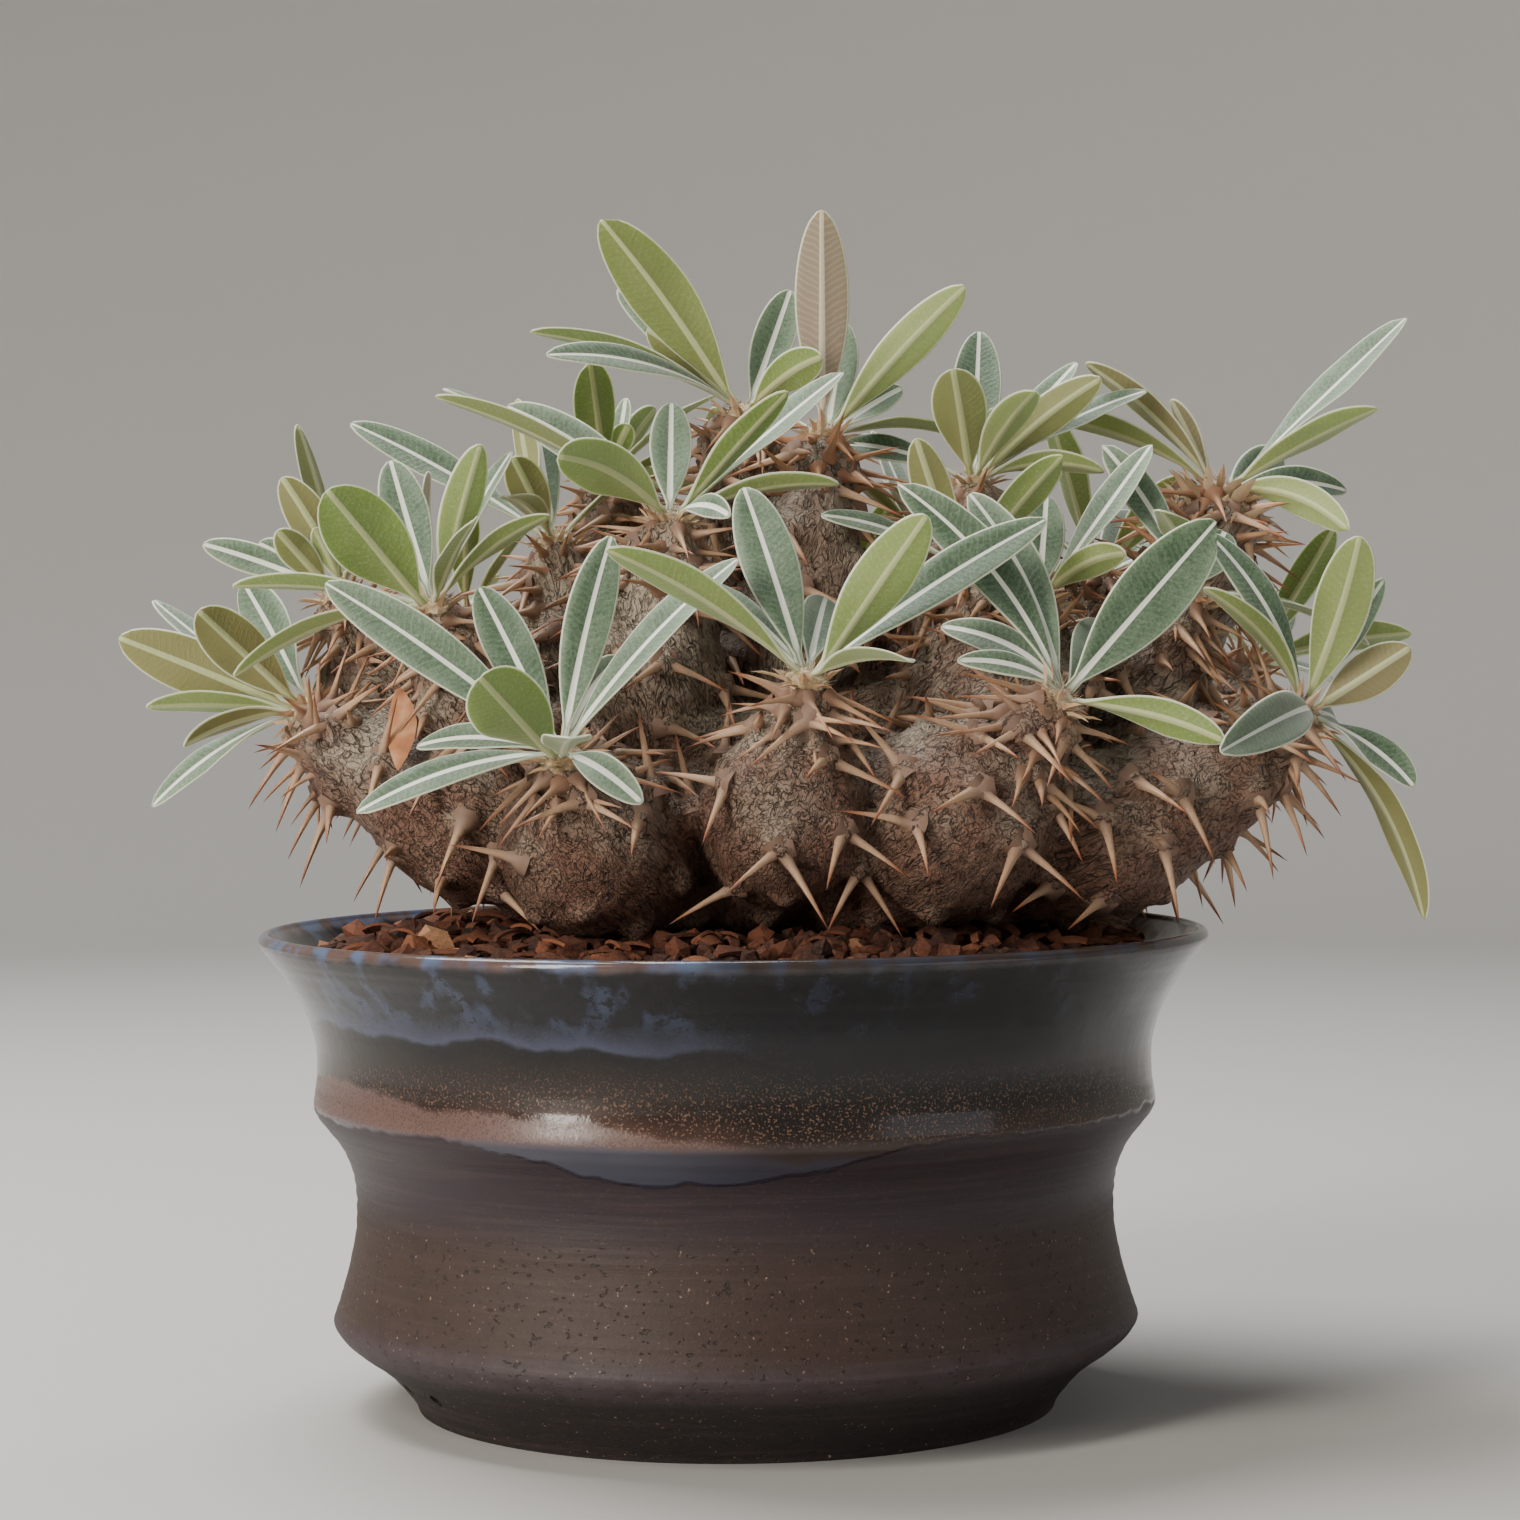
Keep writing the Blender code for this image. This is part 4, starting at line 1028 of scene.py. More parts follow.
def dry_bract():
    """Dead leaf, dried on the plant: papery, cream to rust, with darker blotches."""
    material, add = new_material("dry_bract")
    blotch = add("TexNoise", Vector=add("TexCoord", out="Object"), Scale=300.0, Detail=4.0)
    blotched = add("ValToRGB", blotch, stops=((0.3, "#7c4c2e"), (0.48, "#b07c52"), (0.68, "#d3b58c")))
    rust, pale, _ = kept_values(add, "bract")
    colour = laid_over(add, blotched, (rust, 0.65, "#a5673f"), (pale, 0.6, "#dccbab"))
    return paint(material, colour, Roughness=0.7)


def crushed_grit(settings):
    """Baked clay, lava and bark, crushed: dull red brown grains of many shades, with dusty pores."""
    material, add = new_material("crushed_grit")
    shade, _, _ = kept_values(add, "grain")
    stops = (
        (0.0, "#1d110b"), (0.35, settings.dark), (0.65, settings.red), (0.88, "#7f4b30"),
        (1.0, "#b08461"),
    )
    spot = add("TexCoord", out="Object")
    pores = add("TexNoise", Vector=spot, Scale=1200.0, Detail=3.0, Roughness=0.7)
    colour = laid_over(
        add, add("ValToRGB", shade, stops=stops), (pores, 0.45, 0.75, 0.5, "#7a5038"),
        (pores, 0.45, 0.3, 0.6, "#1c100a"),
    )
    bump = add("Bump", Strength=0.9, Distance=0.3 * MM, Height=pores)
    return paint(material, colour, bump, Roughness=0.92)


def thrown_stoneware(settings):
    """Dark stoneware, thrown on a wheel and glazed down to the shoulder.

    The glaze is glossy and breaks from black to blue grey and rust where it runs thick or thin. The
    clay below it is bare: satin plum brown at first, then coarse with sand, pits and throwing lines.
    """
    material, add = new_material("thrown_stoneware")
    spot = add("TexCoord", out="Object")
    x, y, z = add("SeparateXYZ", add("VectorMath SCALE", spot, Scale=1000.0), out=None)
    flat = add("Mapping", spot, Scale=(1.0, 1.0, 0.25))
    tall = add("Mapping", spot, Scale=(1.0, 1.0, 0.16))
    wave = add("Math SUBTRACT", add("TexNoise", Vector=flat, Scale=34.0, Detail=1.0), 0.5)
    ripple = add("Math SUBTRACT", add("TexNoise", Vector=spot, Scale=170.0, Detail=2.0), 0.5)
    # The glaze lies in uneven bands between 50 and 90 mm up the pot, brighter at the left. The bands
    # are painted twice, lit and shaded: the lit copy holds painted light and a painted highlight on the
    # crest, the shaded copy painted shade.
    level = add("Math ADD", z, add("Math MULTIPLY_ADD", wave, 11.0, add("Math MULTIPLY", ripple, 2.5)))
    step = add("MapRange LINEAR", level, 50.0, 90.0, 0.0, 1.0)
    lit = add("ValToRGB", step, stops=(
        (0.0, "#3a3b48"), (0.15, "#45444f"), (0.19, "#54403a"), (0.24, "#48342c"), (0.32, "#2a1d18"),
        (0.50, "#1a1310"), (0.55, "#070606"), (0.575, "#0c0c10"), (0.595, "#3c4154"), (0.65, "#2c303f"),
        (0.71, "#15161c"), (0.90, "#0e0e10"),
    ))
    shaded = add("ValToRGB", step, stops=(
        (0.0, "#2b2d3c"), (0.15, "#322e38"), (0.20, "#33241f"), (0.30, "#1b1310"), (0.45, "#100c0b"),
        (0.56, "#060506"), (0.66, "#0b0d14"), (0.80, "#090b12"), (0.92, "#0e0f13"),
    ))
    # Towards the right the shaded copy is laid over the lit one, which is painted shade; it also makes
    # the streaks on the flare fainter.
    right = add("MapRange SMOOTHSTEP", add("Math MULTIPLY_ADD", wave, 40.0, x), -22.0, 12.0, 0.0, 1.0)
    # On the flare the glaze has run: blue grey streaks 4 to 8 mm wide between crawled black specks.
    run = add("TexNoise", Vector=tall, Scale=150.0, Detail=2.0)
    flare = add("MapRange SMOOTHSTEP", z, 74.0, 80.0, 0.0, 1.0)
    streak = add("Math MULTIPLY", add("MapRange SMOOTHSTEP", run, 0.52, 0.66, 0.0, 0.8), flare)
    streak = add("Math MULTIPLY", streak, add("MapRange LINEAR", right, 0.0, 1.0, 1.0, 0.35))
    crawl = add("TexNoise", Vector=spot, Scale=520.0, Detail=3.0, Roughness=0.7)
    specks = add("Math MULTIPLY", add("MapRange SMOOTHSTEP", crawl, 0.52, 0.6, 0.0, 0.9), flare)
    # Copper flecks shine on the crest of the shoulder and above it.
    fleck = add("TexNoise", Vector=spot, Scale=2300.0, Detail=1.0)
    band = add("MapRange SMOOTHSTEP", z, 71.0, 62.0, 0.1, 1.0)
    band = add("Math MULTIPLY", band, add("MapRange SMOOTHSTEP", z, 56.0, 58.5, 0.0, 1.0))
    sparkle = add("Math MULTIPLY", add("MapRange SMOOTHSTEP", fleck, 0.56, 0.68, 0.0, 1.0), band)
    # A tan wedge lies on the crest at the left, where the glaze is thinnest. Its colour is partly the
    # thin glaze's own and partly a painted highlight of the light at the left.
    thin_glaze_highlight = add("MapRange SMOOTHSTEP", add("Math MULTIPLY_ADD", x, 0.075, level), 58.6, 57.2, 0.0, 0.85)
    thin_glaze_highlight = add("Math MULTIPLY", thin_glaze_highlight, add("MapRange SMOOTHSTEP", z, 56.0, 58.0, 0.0, 1.0))
    thin_glaze_highlight = add("Math MULTIPLY", thin_glaze_highlight, add("MapRange SMOOTHSTEP", fleck, 0.3, 0.55, 0.55, 1.0))
    # The lip is worn to a thin brown and blue glaze, and painted darker at the right: painted shade.
    worn_lip_and_shade = laid_over(
        add, settings.lip, (run, 0.42, 0.62, 1.0, "#56627c"), (right, 0.4, 1.0, 0.75, "#25201e"),
    )
    glaze = laid_over(
        add, lit, (right, shaded), (streak, "#374057"), (specks, "#0c0b0c"),
        (sparkle, 0.4, settings.copper), (thin_glaze_highlight, "#67504a"),
        (add("Math MULTIPLY_ADD", ripple, 2.5, z), 86.6, 88.4, 1.0, worn_lip_and_shade),
    )

    coarse = add("TexNoise", Vector=spot, Scale=260.0, Detail=3.0)
    sand = add("TexNoise", Vector=spot, Scale=1500.0, Detail=3.0, Roughness=0.7)
    lines = add("Mapping", spot, Scale=(0.04, 0.04, 1.0))
    throwing = add("TexNoise", Vector=lines, Scale=760.0, Detail=3.0)
    coarse_zone = add("MapRange SMOOTHSTEP", z, 42.0, 36.0, 0.1, 1.0)
    grog = add("TexNoise", Vector=spot, Scale=1300.0)
    grog = add("Math MULTIPLY", add("MapRange SMOOTHSTEP", grog, 0.68, 0.76, 0.0, 0.6), coarse_zone)
    pit = add("TexNoise", Vector=add("Mapping", spot, Scale=(1.0, 1.0, 1.7)), Scale=620.0)
    pit = add("Math MULTIPLY", add("MapRange SMOOTHSTEP", pit, 0.36, 0.29, 0.0, 1.0), coarse_zone)
    clay = laid_over(
        add, settings.clay, (z, 34.0, 44.0, 1.0, settings.satin),
        # A paler mauve band on the lower ridge is a painted highlight, and the foot below it is darker.
        (add("Math MULTIPLY_ADD", wave, 3.0, z), 21.0, 16.5, 0.7, "#40363c"),
        (z, 14.5, 11.0, 1.0, "#1c1414"), (coarse, 0.42, 0.68, 0.4, "#2a1c17"),
        (throwing, 0.5, 0.66, 0.25, "#453533"), (sand, 0.55, 0.75, 0.4, "#5c463b"),
        (grog, "#a98d7c"), (pit, 0.6, "#19110f"),
    )

    # The glaze ends in a thick edge on the shoulder, with one long lobe over the front.
    bow = add("Math POWER", add("Math DIVIDE", add("Math ADD", x, 4.0), 48.0), 2.0)
    hump = add("Math POWER", add("Math MAXIMUM", add("Math SUBTRACT", 1.0, bow), 0.0), 2.0)
    hump = add("Math MULTIPLY", hump, add("MapRange SMOOTHSTEP", y, 0.0, -30.0, 0.0, 7.0))
    edge = add("Math MULTIPLY_ADD", wave, 4.0, add("Math MULTIPLY_ADD", ripple, 2.4, 57.0))
    edge = add("Math SUBTRACT", edge, hump)
    glazed = add("MapRange SMOOTHSTEP", add("Math SUBTRACT", z, edge), -0.4, 0.5, 0.0, 1.0)
    colour = add("Mix RGBA", glazed, clay, glaze)
    satin = add("Math MULTIPLY_ADD", sand, 0.25, add("MapRange SMOOTHSTEP", z, 36.0, 44.0, 0.5, 0.34))
    gloss = add("Math MULTIPLY_ADD", sparkle, 0.15, add("Math MULTIPLY_ADD", thin_glaze_highlight, 0.22, 0.13))
    rough = add("Mix FLOAT", glazed, satin, gloss)
    grainy = add("Math MULTIPLY", sand, add("Math MULTIPLY", coarse_zone, 0.14))
    bare = add("Math MULTIPLY_ADD", pit, -0.3, add("Math MULTIPLY_ADD", throwing, 0.25, grainy))
    thick = add("Math MULTIPLY_ADD", run, 0.1, add("Math MULTIPLY_ADD", crawl, 0.08, 0.42))
    bump = add("Bump", Strength=0.75, Distance=0.8 * MM, Height=add("Mix FLOAT", glazed, bare, thick))
    return paint(material, colour, bump, Roughness=rough, IOR=1.5)


# Pieces

def smooth_line(points, steps):
    """A rounded line through the points (Catmull-Rom), with this many steps between each two."""
    line = []
    ends = [points[0], *points, points[-1]]
    for before, start, end, after in zip(ends, ends[1:], ends[2:], ends[3:]):
        for step in range(steps):
            t = step / steps
            value = []
            for p0, p1, p2, p3 in zip(before, start, end, after):
                bow = (2 * p0 - 5 * p1 + 4 * p2 - p3) * t**2 + (3 * p1 - p0 - 3 * p2 + p3) * t**3
                value.append((2 * p1 + (p2 - p0) * t + bow) / 2)
            line.append(tuple(value))
    return [*line, points[-1]]


def tube_faces(rings, sides, pointed=True):
    """Faces of a closed tube of rings, its last ring drawn together to one more vertex if pointed."""
    faces = [tuple(range(sides))]
    for here in range(0, (rings - 1) * sides, sides):
        for k in range(sides):
            after = (k + 1) % sides
            faces.append((here + k, here + after, here + sides + after, here + sides + k))
    last = rings * sides
    if pointed:
        faces += [(last - sides + k, last - sides + (k + 1) % sides, last) for k in range(sides)]
    else:
        faces.append(tuple(last - sides + k for k in range(sides)))
    return faces


def granule(draw, centre, radius, flat=1.0):
    """(verts, faces) of one crushed grain."""
    verts, faces = ball(1)
    axis = any_way(draw)
    turn = Matrix.Rotation(draw.uniform(0, 2 * math.pi), 3, axis)
    long, wide, high = draw.uniform(0.8, 1.3), draw.uniform(0.7, 1.1), draw.uniform(0.6, 1.0)
    stretch = Vector((long, wide, high * flat)) * radius
    return [turn @ (vert * draw.uniform(0.8, 1.15) * stretch) + centre for vert in verts], faces


def bark_curl(draw, centre, length, width):
    """(verts, faces) of a thin curled chip of bark."""
    bend, steps = draw.uniform(0.6, 2.2), 7
    spin = Matrix.Rotation(draw.uniform(0, 6.28), 3, "Z")
    turn = spin @ Matrix.Rotation(draw.uniform(-0.6, 0.6), 3, "X")
    verts = []
    for step in range(steps):
        share = step / (steps - 1) - 0.5
        rise = 0.6 * (math.cos(share * bend) - math.cos(bend / 2))
        middle = Vector((math.sin(share * bend), 0, rise)) * (length / bend)
        slim = width * (1 - 0.5 * abs(share))
        for y, z in ((-0.5, 0), (0.5, 0), (0.5, 0.6), (-0.5, 0.6)):
            verts.append(centre + turn @ (middle + Vector((0, y * slim, z * MM))))
    return verts, tube_faces(steps, 4, pointed=False)


def on_soil(radius, angle, above):
    """A point this far above the soil's surface."""
    height = soil_height(radius) + above
    return Vector((radius * math.cos(angle), radius * math.sin(angle), height)) * MM


def held_between(low, value, high):
    return min(max(low, value), high)


def on_neck(skin, name, middle, out):
    """Where the bark of a limb's neck lies out from a point on its axis, or None if it is too far."""
    foot = skin.ray_cast(middle + out * NECK_REACH * MM, -out, NECK_REACH * MM)[0]
    if foot is None or (foot - middle).length > (LIMBS[name].neck + NECK_MARGIN) * MM:
        return None
    return foot


def fold_bark(body, skin, sites):
    """Folds and creases the bark, and returns what its material reads for each vertex.

    These are how open the sky above it is, which the material turns into painted shade between the
    limbs, how near a spine is and how near a crown is.
    """
    feet, crowns = KDTree(len(sites)), crown_spots()
    for index, site in enumerate(sites):
        feet.insert(site[0], index)
    feet.balance()
    draw = random.Random(3)
    rays = [any_way(draw) for _ in range(10)]
    moves, kept = [], []
    for vert in body.data.vertices:
        spot, normal = vert.co, vert.normal
        from_heart = spot - HEART_CENTRE
        along = from_heart * (WRINKLE_FLOOR + WRINKLE_REACH / from_heart.length)
        crease = max(0.0, CREASE - abs(noise.noise(along * 300))) / CREASE
        fold = noise.noise(spot * 60) * 0.9 + noise.noise(spot * 210) * 0.35 - 0.5 * crease
        moves.append(spot + normal * fold * MM)
        # How many of the rays meet another limb says how much painted shade darkens the bark between
        # the limbs.
        blocked = 0
        for ray in rays:
            aim = ray if ray.dot(normal) > 0 else -ray
            blocked += skin.ray_cast(spot + normal * 1.5 * MM, aim, SHADE_REACH * MM)[0] is not None
        near_spine = max(0.0, 1 - feet.find(spot)[2] / (SPINE_REACH * MM))
        from_crown = min((spot - crown).length for crown in crowns)
        near_crown = max(0.0, 1 - from_crown / (CROWN_REACH * MM))
        kept.append((1 - blocked / len(rays), near_spine, near_crown))
    for vert, move in zip(body.data.vertices, moves):
        vert.co = move
    return kept


def smooth_blade(leaf, draw):
    """One finished leaf, a thin folded blade with a raised midrib.

    Returns its vertices and faces, for each vertex its distances in millimetres from the midrib, from
    the margin and from the root, and for each vertex the side of the leaf that it lies on.
    """
    crown, axis, tip, width, roll = leaf
    length = (tip - crown).length / MM
    wave, waves, phase = draw.uniform(0.0, 0.07), draw.uniform(1.2, 2.4), draw.uniform(0, 6.28)
    curl = draw.uniform(-0.05, 0.12)
    root, tangent = blade_line(crown, axis, tip, 0.0)
    verts, shape, side = [root - tangent * 2.0 * MM], [(0.0, 0.0, 0.0)], [0.0]
    for row in range(ROWS):
        share = (row / (ROWS - 1)) ** 0.9 * 0.992
        centre, tangent = blade_line(crown, axis, tip, share)
        over = upper_side(crown, axis, tip, share, roll)
        across = tangent.cross(over)
        half = width * blade_width(share) / 2
        body = BLADE_THICKNESS * 0.62 * (1 - 0.45 * share)
        for face in (UPPER, UNDER):
            for u in COLUMNS if face == UPPER else COLUMNS[-2:0:-1]:
                # The blade folds up from a rounded keel, its rim curls back and its margin waves.
                fold = (math.hypot(u, 0.15) - 0.15) * half * math.sin(BLADE_FOLD)
                ripple = math.sin(2 * math.pi * waves * share + phase + (0.6 if u > 0 else 0.0))
                rim = -curl * half * max(0.0, abs(u) - 0.5) ** 2 * 4
                skin = face * body / 2 * math.sqrt(max(0.0, 1 - u**6))
                rib = math.exp(-((u * half / RIB_WIDTH) ** 2)) * (1 - share) ** 0.4
                skin += RIB_RELIEF[face] * rib * min(1.0, half / 2.5)
                rise = fold + rim + skin + wave * half * u * u * ripple
                verts.append(centre + (across * u * half + over * rise) * MM)
                shape.append((abs(u) * half, (1 - abs(u)) * half, share * length))
                side.append(0.0 if abs(u) == 1 else float(face))
    verts.append(tip)
    shape.append((0.0, 0.0, length))
    side.append(0.0)
    ring = 2 * len(COLUMNS) - 2
    faces = [(0, 1 + (k + 1) % ring, 1 + k) for k in range(ring)]
    faces += [tuple(1 + k for k in face) for face in tube_faces(ROWS, ring)[1:]]
    return verts, faces, shape, side


def add_spine(spines, foot, aim, length, sag, draw, warmth=0.0, girth=1.0):
    """Adds a tapered spine that bends a little along sag and flares where it leaves the bark."""
    slim = girth * (length / (SPINE_LENGTH * MM)) ** 0.5
    ring = spokes(aim, SPINE_SIDES)
    verts, shares = [], []
    for share, radius in SPINE_PROFILE:
        centre = foot + aim * length * share + sag * length * SPINE_SAG * share * abs(share)
        verts += [centre + spoke * radius * slim * MM for spoke in ring]
        shares += [max(0.0, share)] * SPINE_SIDES
    verts.append(foot + aim * length + sag * length * SPINE_SAG)
    tone = draw.uniform(0.0, 0.4)
    kept = [(share, tone, warmth) for share in [*shares, 1.0]]
    spines.add(verts, tube_faces(len(SPINE_PROFILE), SPINE_SIDES), spine=kept)


def cushion(crown, axis, spread):
    """(verts, faces) of the low lumpy cushion of wool on a crown."""
    points, faces = ball(3)
    turn = axis.to_track_quat("Z", "Y").to_matrix()
    size = Vector((spread * 0.85, spread * 0.85, 2.4)) * MM
    verts = []
    for point in points:
        lumpy = 1 + 0.3 * noise.noise(point * 2.3 + crown * 100)
        verts.append(crown + axis * 0.2 * MM + turn @ (point * lumpy * size))
    return verts, faces


def hair(foot, aim, length):
    """(verts, faces) of one three-sided hair."""
    verts = [foot + spoke * (HAIR_RADIUS * MM) for spoke in spokes(aim, 3)]
    return [*verts, foot + aim * length], tube_faces(1, 3)


def scale(foot, aim, axis, length, width, outline=SCALE_OUTLINE):
    """(verts, faces) of one dry pointed scale or leaf, its tip curled away from axis."""
    over = (axis - aim * axis.dot(aim)).normalized()
    across = aim.cross(over)
    verts = []
    for share, part in outline:
        middle = foot + aim * length * share - over * length * SCALE_CURL * share**2
        half = across * width * part / 2
        verts += [middle - half + over * 0.25 * MM, middle + over * 0.1 * MM]
        verts += [middle + half + over * 0.25 * MM, middle - over * 0.2 * MM]
    verts.append(foot + aim * length - over * length * SCALE_CURL)
    return verts, tube_faces(len(outline), 4)


class PlantPot(bpy.types.PropertyGroup):
    """Size and colours of the pot."""

    sides: IntProperty(name="Sides", description="Facets round the pot", default=200, min=48)
    throwing: FloatProperty(
        name="Throwing lines", description="Height of the lines that the fingers leave",
        default=0.12 * MM, unit="LENGTH", subtype="DISTANCE", precision=5,
    )
    copper: StringProperty(name="Copper", description="Shoulder flecks, sRGB hex", default="#93705a")
    lip: StringProperty(name="Lip", description="Thin glaze on the rim, sRGB hex", default="#5c4a44")
    satin: StringProperty(name="Satin clay", description="Upper wall, sRGB hex", default="#25181f")
    clay: StringProperty(name="Sandy clay", description="Lower wall, sRGB hex", default="#36251d")


class PlantSoil(bpy.types.PropertyGroup):
    """Size and colours of the potting mix."""

    grains: IntProperty(name="Grains", description="How many grains lie on top", default=1500, min=100)
    size: FloatProperty(
        name="Grain size", description="Usual radius of a grain", default=2.0 * MM, unit="LENGTH",
        subtype="DISTANCE", precision=4,
    )
    chips: IntProperty(name="Chips", description="How many chips of bark lie on top", default=190)
    red: StringProperty(name="Red", description="Usual colour, sRGB hex", default="#58301e")
    dark: StringProperty(name="Dark", description="The dark grains, sRGB hex", default="#351c12")


class PlantCaudex(bpy.types.PropertyGroup):
    """Size and colours of the caudex and its spines."""

    voxel: FloatProperty(
        name="Fineness", description="Size of the grid the body is skinned on", default=1.2 * MM,
        unit="LENGTH", subtype="DISTANCE", precision=4,
    )
    spacing: FloatProperty(
        name="Tubercle spacing", description="Least distance of two pairs of spines, low on the body",
        default=9.0 * MM, unit="LENGTH", subtype="DISTANCE", precision=4,
    )
    crowding: FloatProperty(
        name="Spacing at the crowns", description="The same distance near a growing tip",
        default=5.5 * MM, unit="LENGTH", subtype="DISTANCE", precision=4,
    )
    top: StringProperty(name="Top", description="Bark that faces up, sRGB hex", default="#a39684")
    flank: StringProperty(name="Flank", description="Bark on the flanks, sRGB hex", default="#765948")
    shaft: StringProperty(name="Spine", description="Middle of a spine, sRGB hex", default="#c09a79")
    tip: StringProperty(name="Spine tip", description="Near its point, sRGB hex", default="#96593b")


class PlantLeaves(bpy.types.PropertyGroup):
    """Colours of the leaves."""

    upper: StringProperty(name="Upper side", description="Under the felt, sRGB hex", default="#385334")
    bloom: StringProperty(name="Felt", description="On the upper side, sRGB hex", default="#7b8f76")
    under: StringProperty(name="Underside", description="Its green, sRGB hex", default="#70873a")


class PlantStage(bpy.types.PropertyGroup):
    """Light and camera."""

    key: FloatProperty(name="Key light", description="Watts of the light at the left", default=26.0)
    top: FloatProperty(name="Top light", description="Watts of the light overhead", default=22.0)
    fill: FloatProperty(name="Fill light", description="Watts of the light at the right", default=1.4)
    sky: FloatProperty(name="Sky", description="Strength of the even light all round", default=0.16)
    lens: FloatProperty(name="Lens", description="Focal length in millimetres", default=87.4)
    roll: FloatProperty(name="Roll", description="Camera's lean to the right in degrees", default=0.4)


class PLANT_OT_throw_pot(bpy.types.Operator):
    """Make the thrown pot with its throwing lines, slight wobble, drain and tie holes"""

    bl_idname = "plant.throw_pot"
    bl_label = "Throw the pot"

    def execute(self, context):
        settings = context.scene.plant_pot
        ring = FOOT_RADIUS - FOOT_RING_WIDTH
        wall = [(FOOT_RADIUS, 0.0), *OUTER_PROFILE, LIP_PROFILE[0]]
        lip = [*LIP_PROFILE, *INNER_PROFILE[:2]]
        outline = smooth_line(wall, 7)[:-1] + smooth_line(lip, 3)[:-1]
        outline += smooth_line(INNER_PROFILE[1:], 2)
        outline += [(FLOOR_RADIUS, FLOOR_TOP), (DRAIN_RADIUS, FLOOR_TOP), (DRAIN_RADIUS, FOOT_RECESS)]
        outline += [(ring - 1.5, FOOT_RECESS), (ring, 0.0), (FOOT_RADIUS - 0.6, 0.0)]
        pot = turned("stoneware_pot", outline, settings.sides)
        for vert in pot.data.vertices:
            flat = Vector((vert.co.x, vert.co.y, 0.0))
            radius, height = flat.length, vert.co.z / MM
            # The lines cut into the outer wall, and less above the shoulder, where glaze fills them.
            if radius / MM > ring and 3 < height < 85:
                spiral = 0.5 * math.sin(height * 2.6 + 3 * flat.x / radius)
                line = noise.noise(Vector((0, 0, height * 0.55))) + spiral
                wobble = noise.noise(Vector((flat.x, flat.y, vert.co.z)) * 18) * 0.12 * MM
                swing = settings.throwing * line * (1.0 if height < 56 else 0.4) - abs(wobble)
                vert.co += flat.normalized() * min(0.0, swing - 0.05 * MM)
        holes = []
        reach, height = TIE_HOLE_PLACE
        for angle in TIE_HOLES:
            mouth = Vector((reach * math.cos(angle), reach * math.sin(angle), height)) * MM
            bore = Vector((math.cos(angle), math.sin(angle), -0.8)).normalized()
            holes.append(prism("hole", mouth, bore, TIE_HOLE_RADIUS, -TIE_HOLE_DEPTH, 4.0, 20))
        boolean(pot, holes, "DIFFERENCE")
        place(pot, thrown_stoneware(settings), "pot", "pot", crease=40)
        return {"FINISHED"}


class PLANT_OT_fill_soil(bpy.types.Operator):
    """Make the potting mix and the grains, lumps and bark chips that lie on it"""

    bl_idname = "plant.fill_soil"
    bl_label = "Fill the soil"

    def execute(self, context):
        settings = context.scene.plant_soil
        draw = random.Random(5)
        wall = [(radius - 0.4, height) for radius, height in reversed(INNER_PROFILE[2:])]
        pit = PLUG_RADIUS + CLEARANCE
        rings = [81.6 - 1.6 * k for k in range(35) if 81.6 - 1.6 * k > pit + 0.5]
        top = [(radius, soil_height(radius) - 0.5) for radius in rings]
        outline = [(FLOOR_RADIUS, FLOOR_TOP + CLEARANCE), *wall, *top]
        outline += [(pit, soil_height(pit) - 0.5), (pit, PLUG_BOTTOM - CLEARANCE)]
        mix = turned("potting_mix", outline, 150, capped=True)
        for vert in mix.data.vertices:
            if vert.co.z / MM > SOIL_AT_WALL - 1.0 and from_axis(vert.co) > pit + 0.5:
                vert.co.z += (0.9 * noise.noise(vert.co * 420) + 0.5 * noise.noise(vert.co * 90)) * MM
        store(mix, "grain", [(0.3, 0.0, 0.0)] * len(mix.data.vertices))
        material = crushed_grit(settings)
        place(mix, material, "soil", "soil")

        grit = Pile("grain")
        for _ in range(settings.grains):
            # The square root spreads the grains evenly over the ring.
            radius = math.sqrt(draw.uniform(*(radius**2 for radius in GRAIN_RADII)))
            size = settings.size / MM * draw.choice(GRAIN_SIZES) * draw.uniform(0.85, 1.15)
            turn = draw.uniform(0, 2 * math.pi)
            centre = on_soil(min(radius, 80.0 - size), turn, draw.uniform(-0.7, 0.7))
            shade = min(1.0, abs(draw.gauss(0.5, 0.22)))
            grit.add(*granule(draw, centre, size * MM), grain=(shade, 0.0, 0.0))
        # One large pale lump lies at the left, in front of the plant.
        lump = Vector((-52.7, -34.6, 88.6)) * MM
        grit.add(*granule(draw, lump, 4.6 * MM, 0.8), grain=(1.0, 0.0, 0.0))
        for _ in range(settings.chips):
            centre = on_soil(draw.uniform(46, 77), draw.uniform(0, 2 * math.pi), draw.uniform(0.8, 1.8))
            chip = bark_curl(draw, centre, draw.uniform(5, 11) * MM, draw.uniform(1.4, 3.2) * MM)
            grit.add(*chip, grain=(draw.uniform(0.55, 0.9), 0.0, 0.0))
        place(grit.to_object("grit"), material, "soil", crease=25)
        return {"FINISHED"}


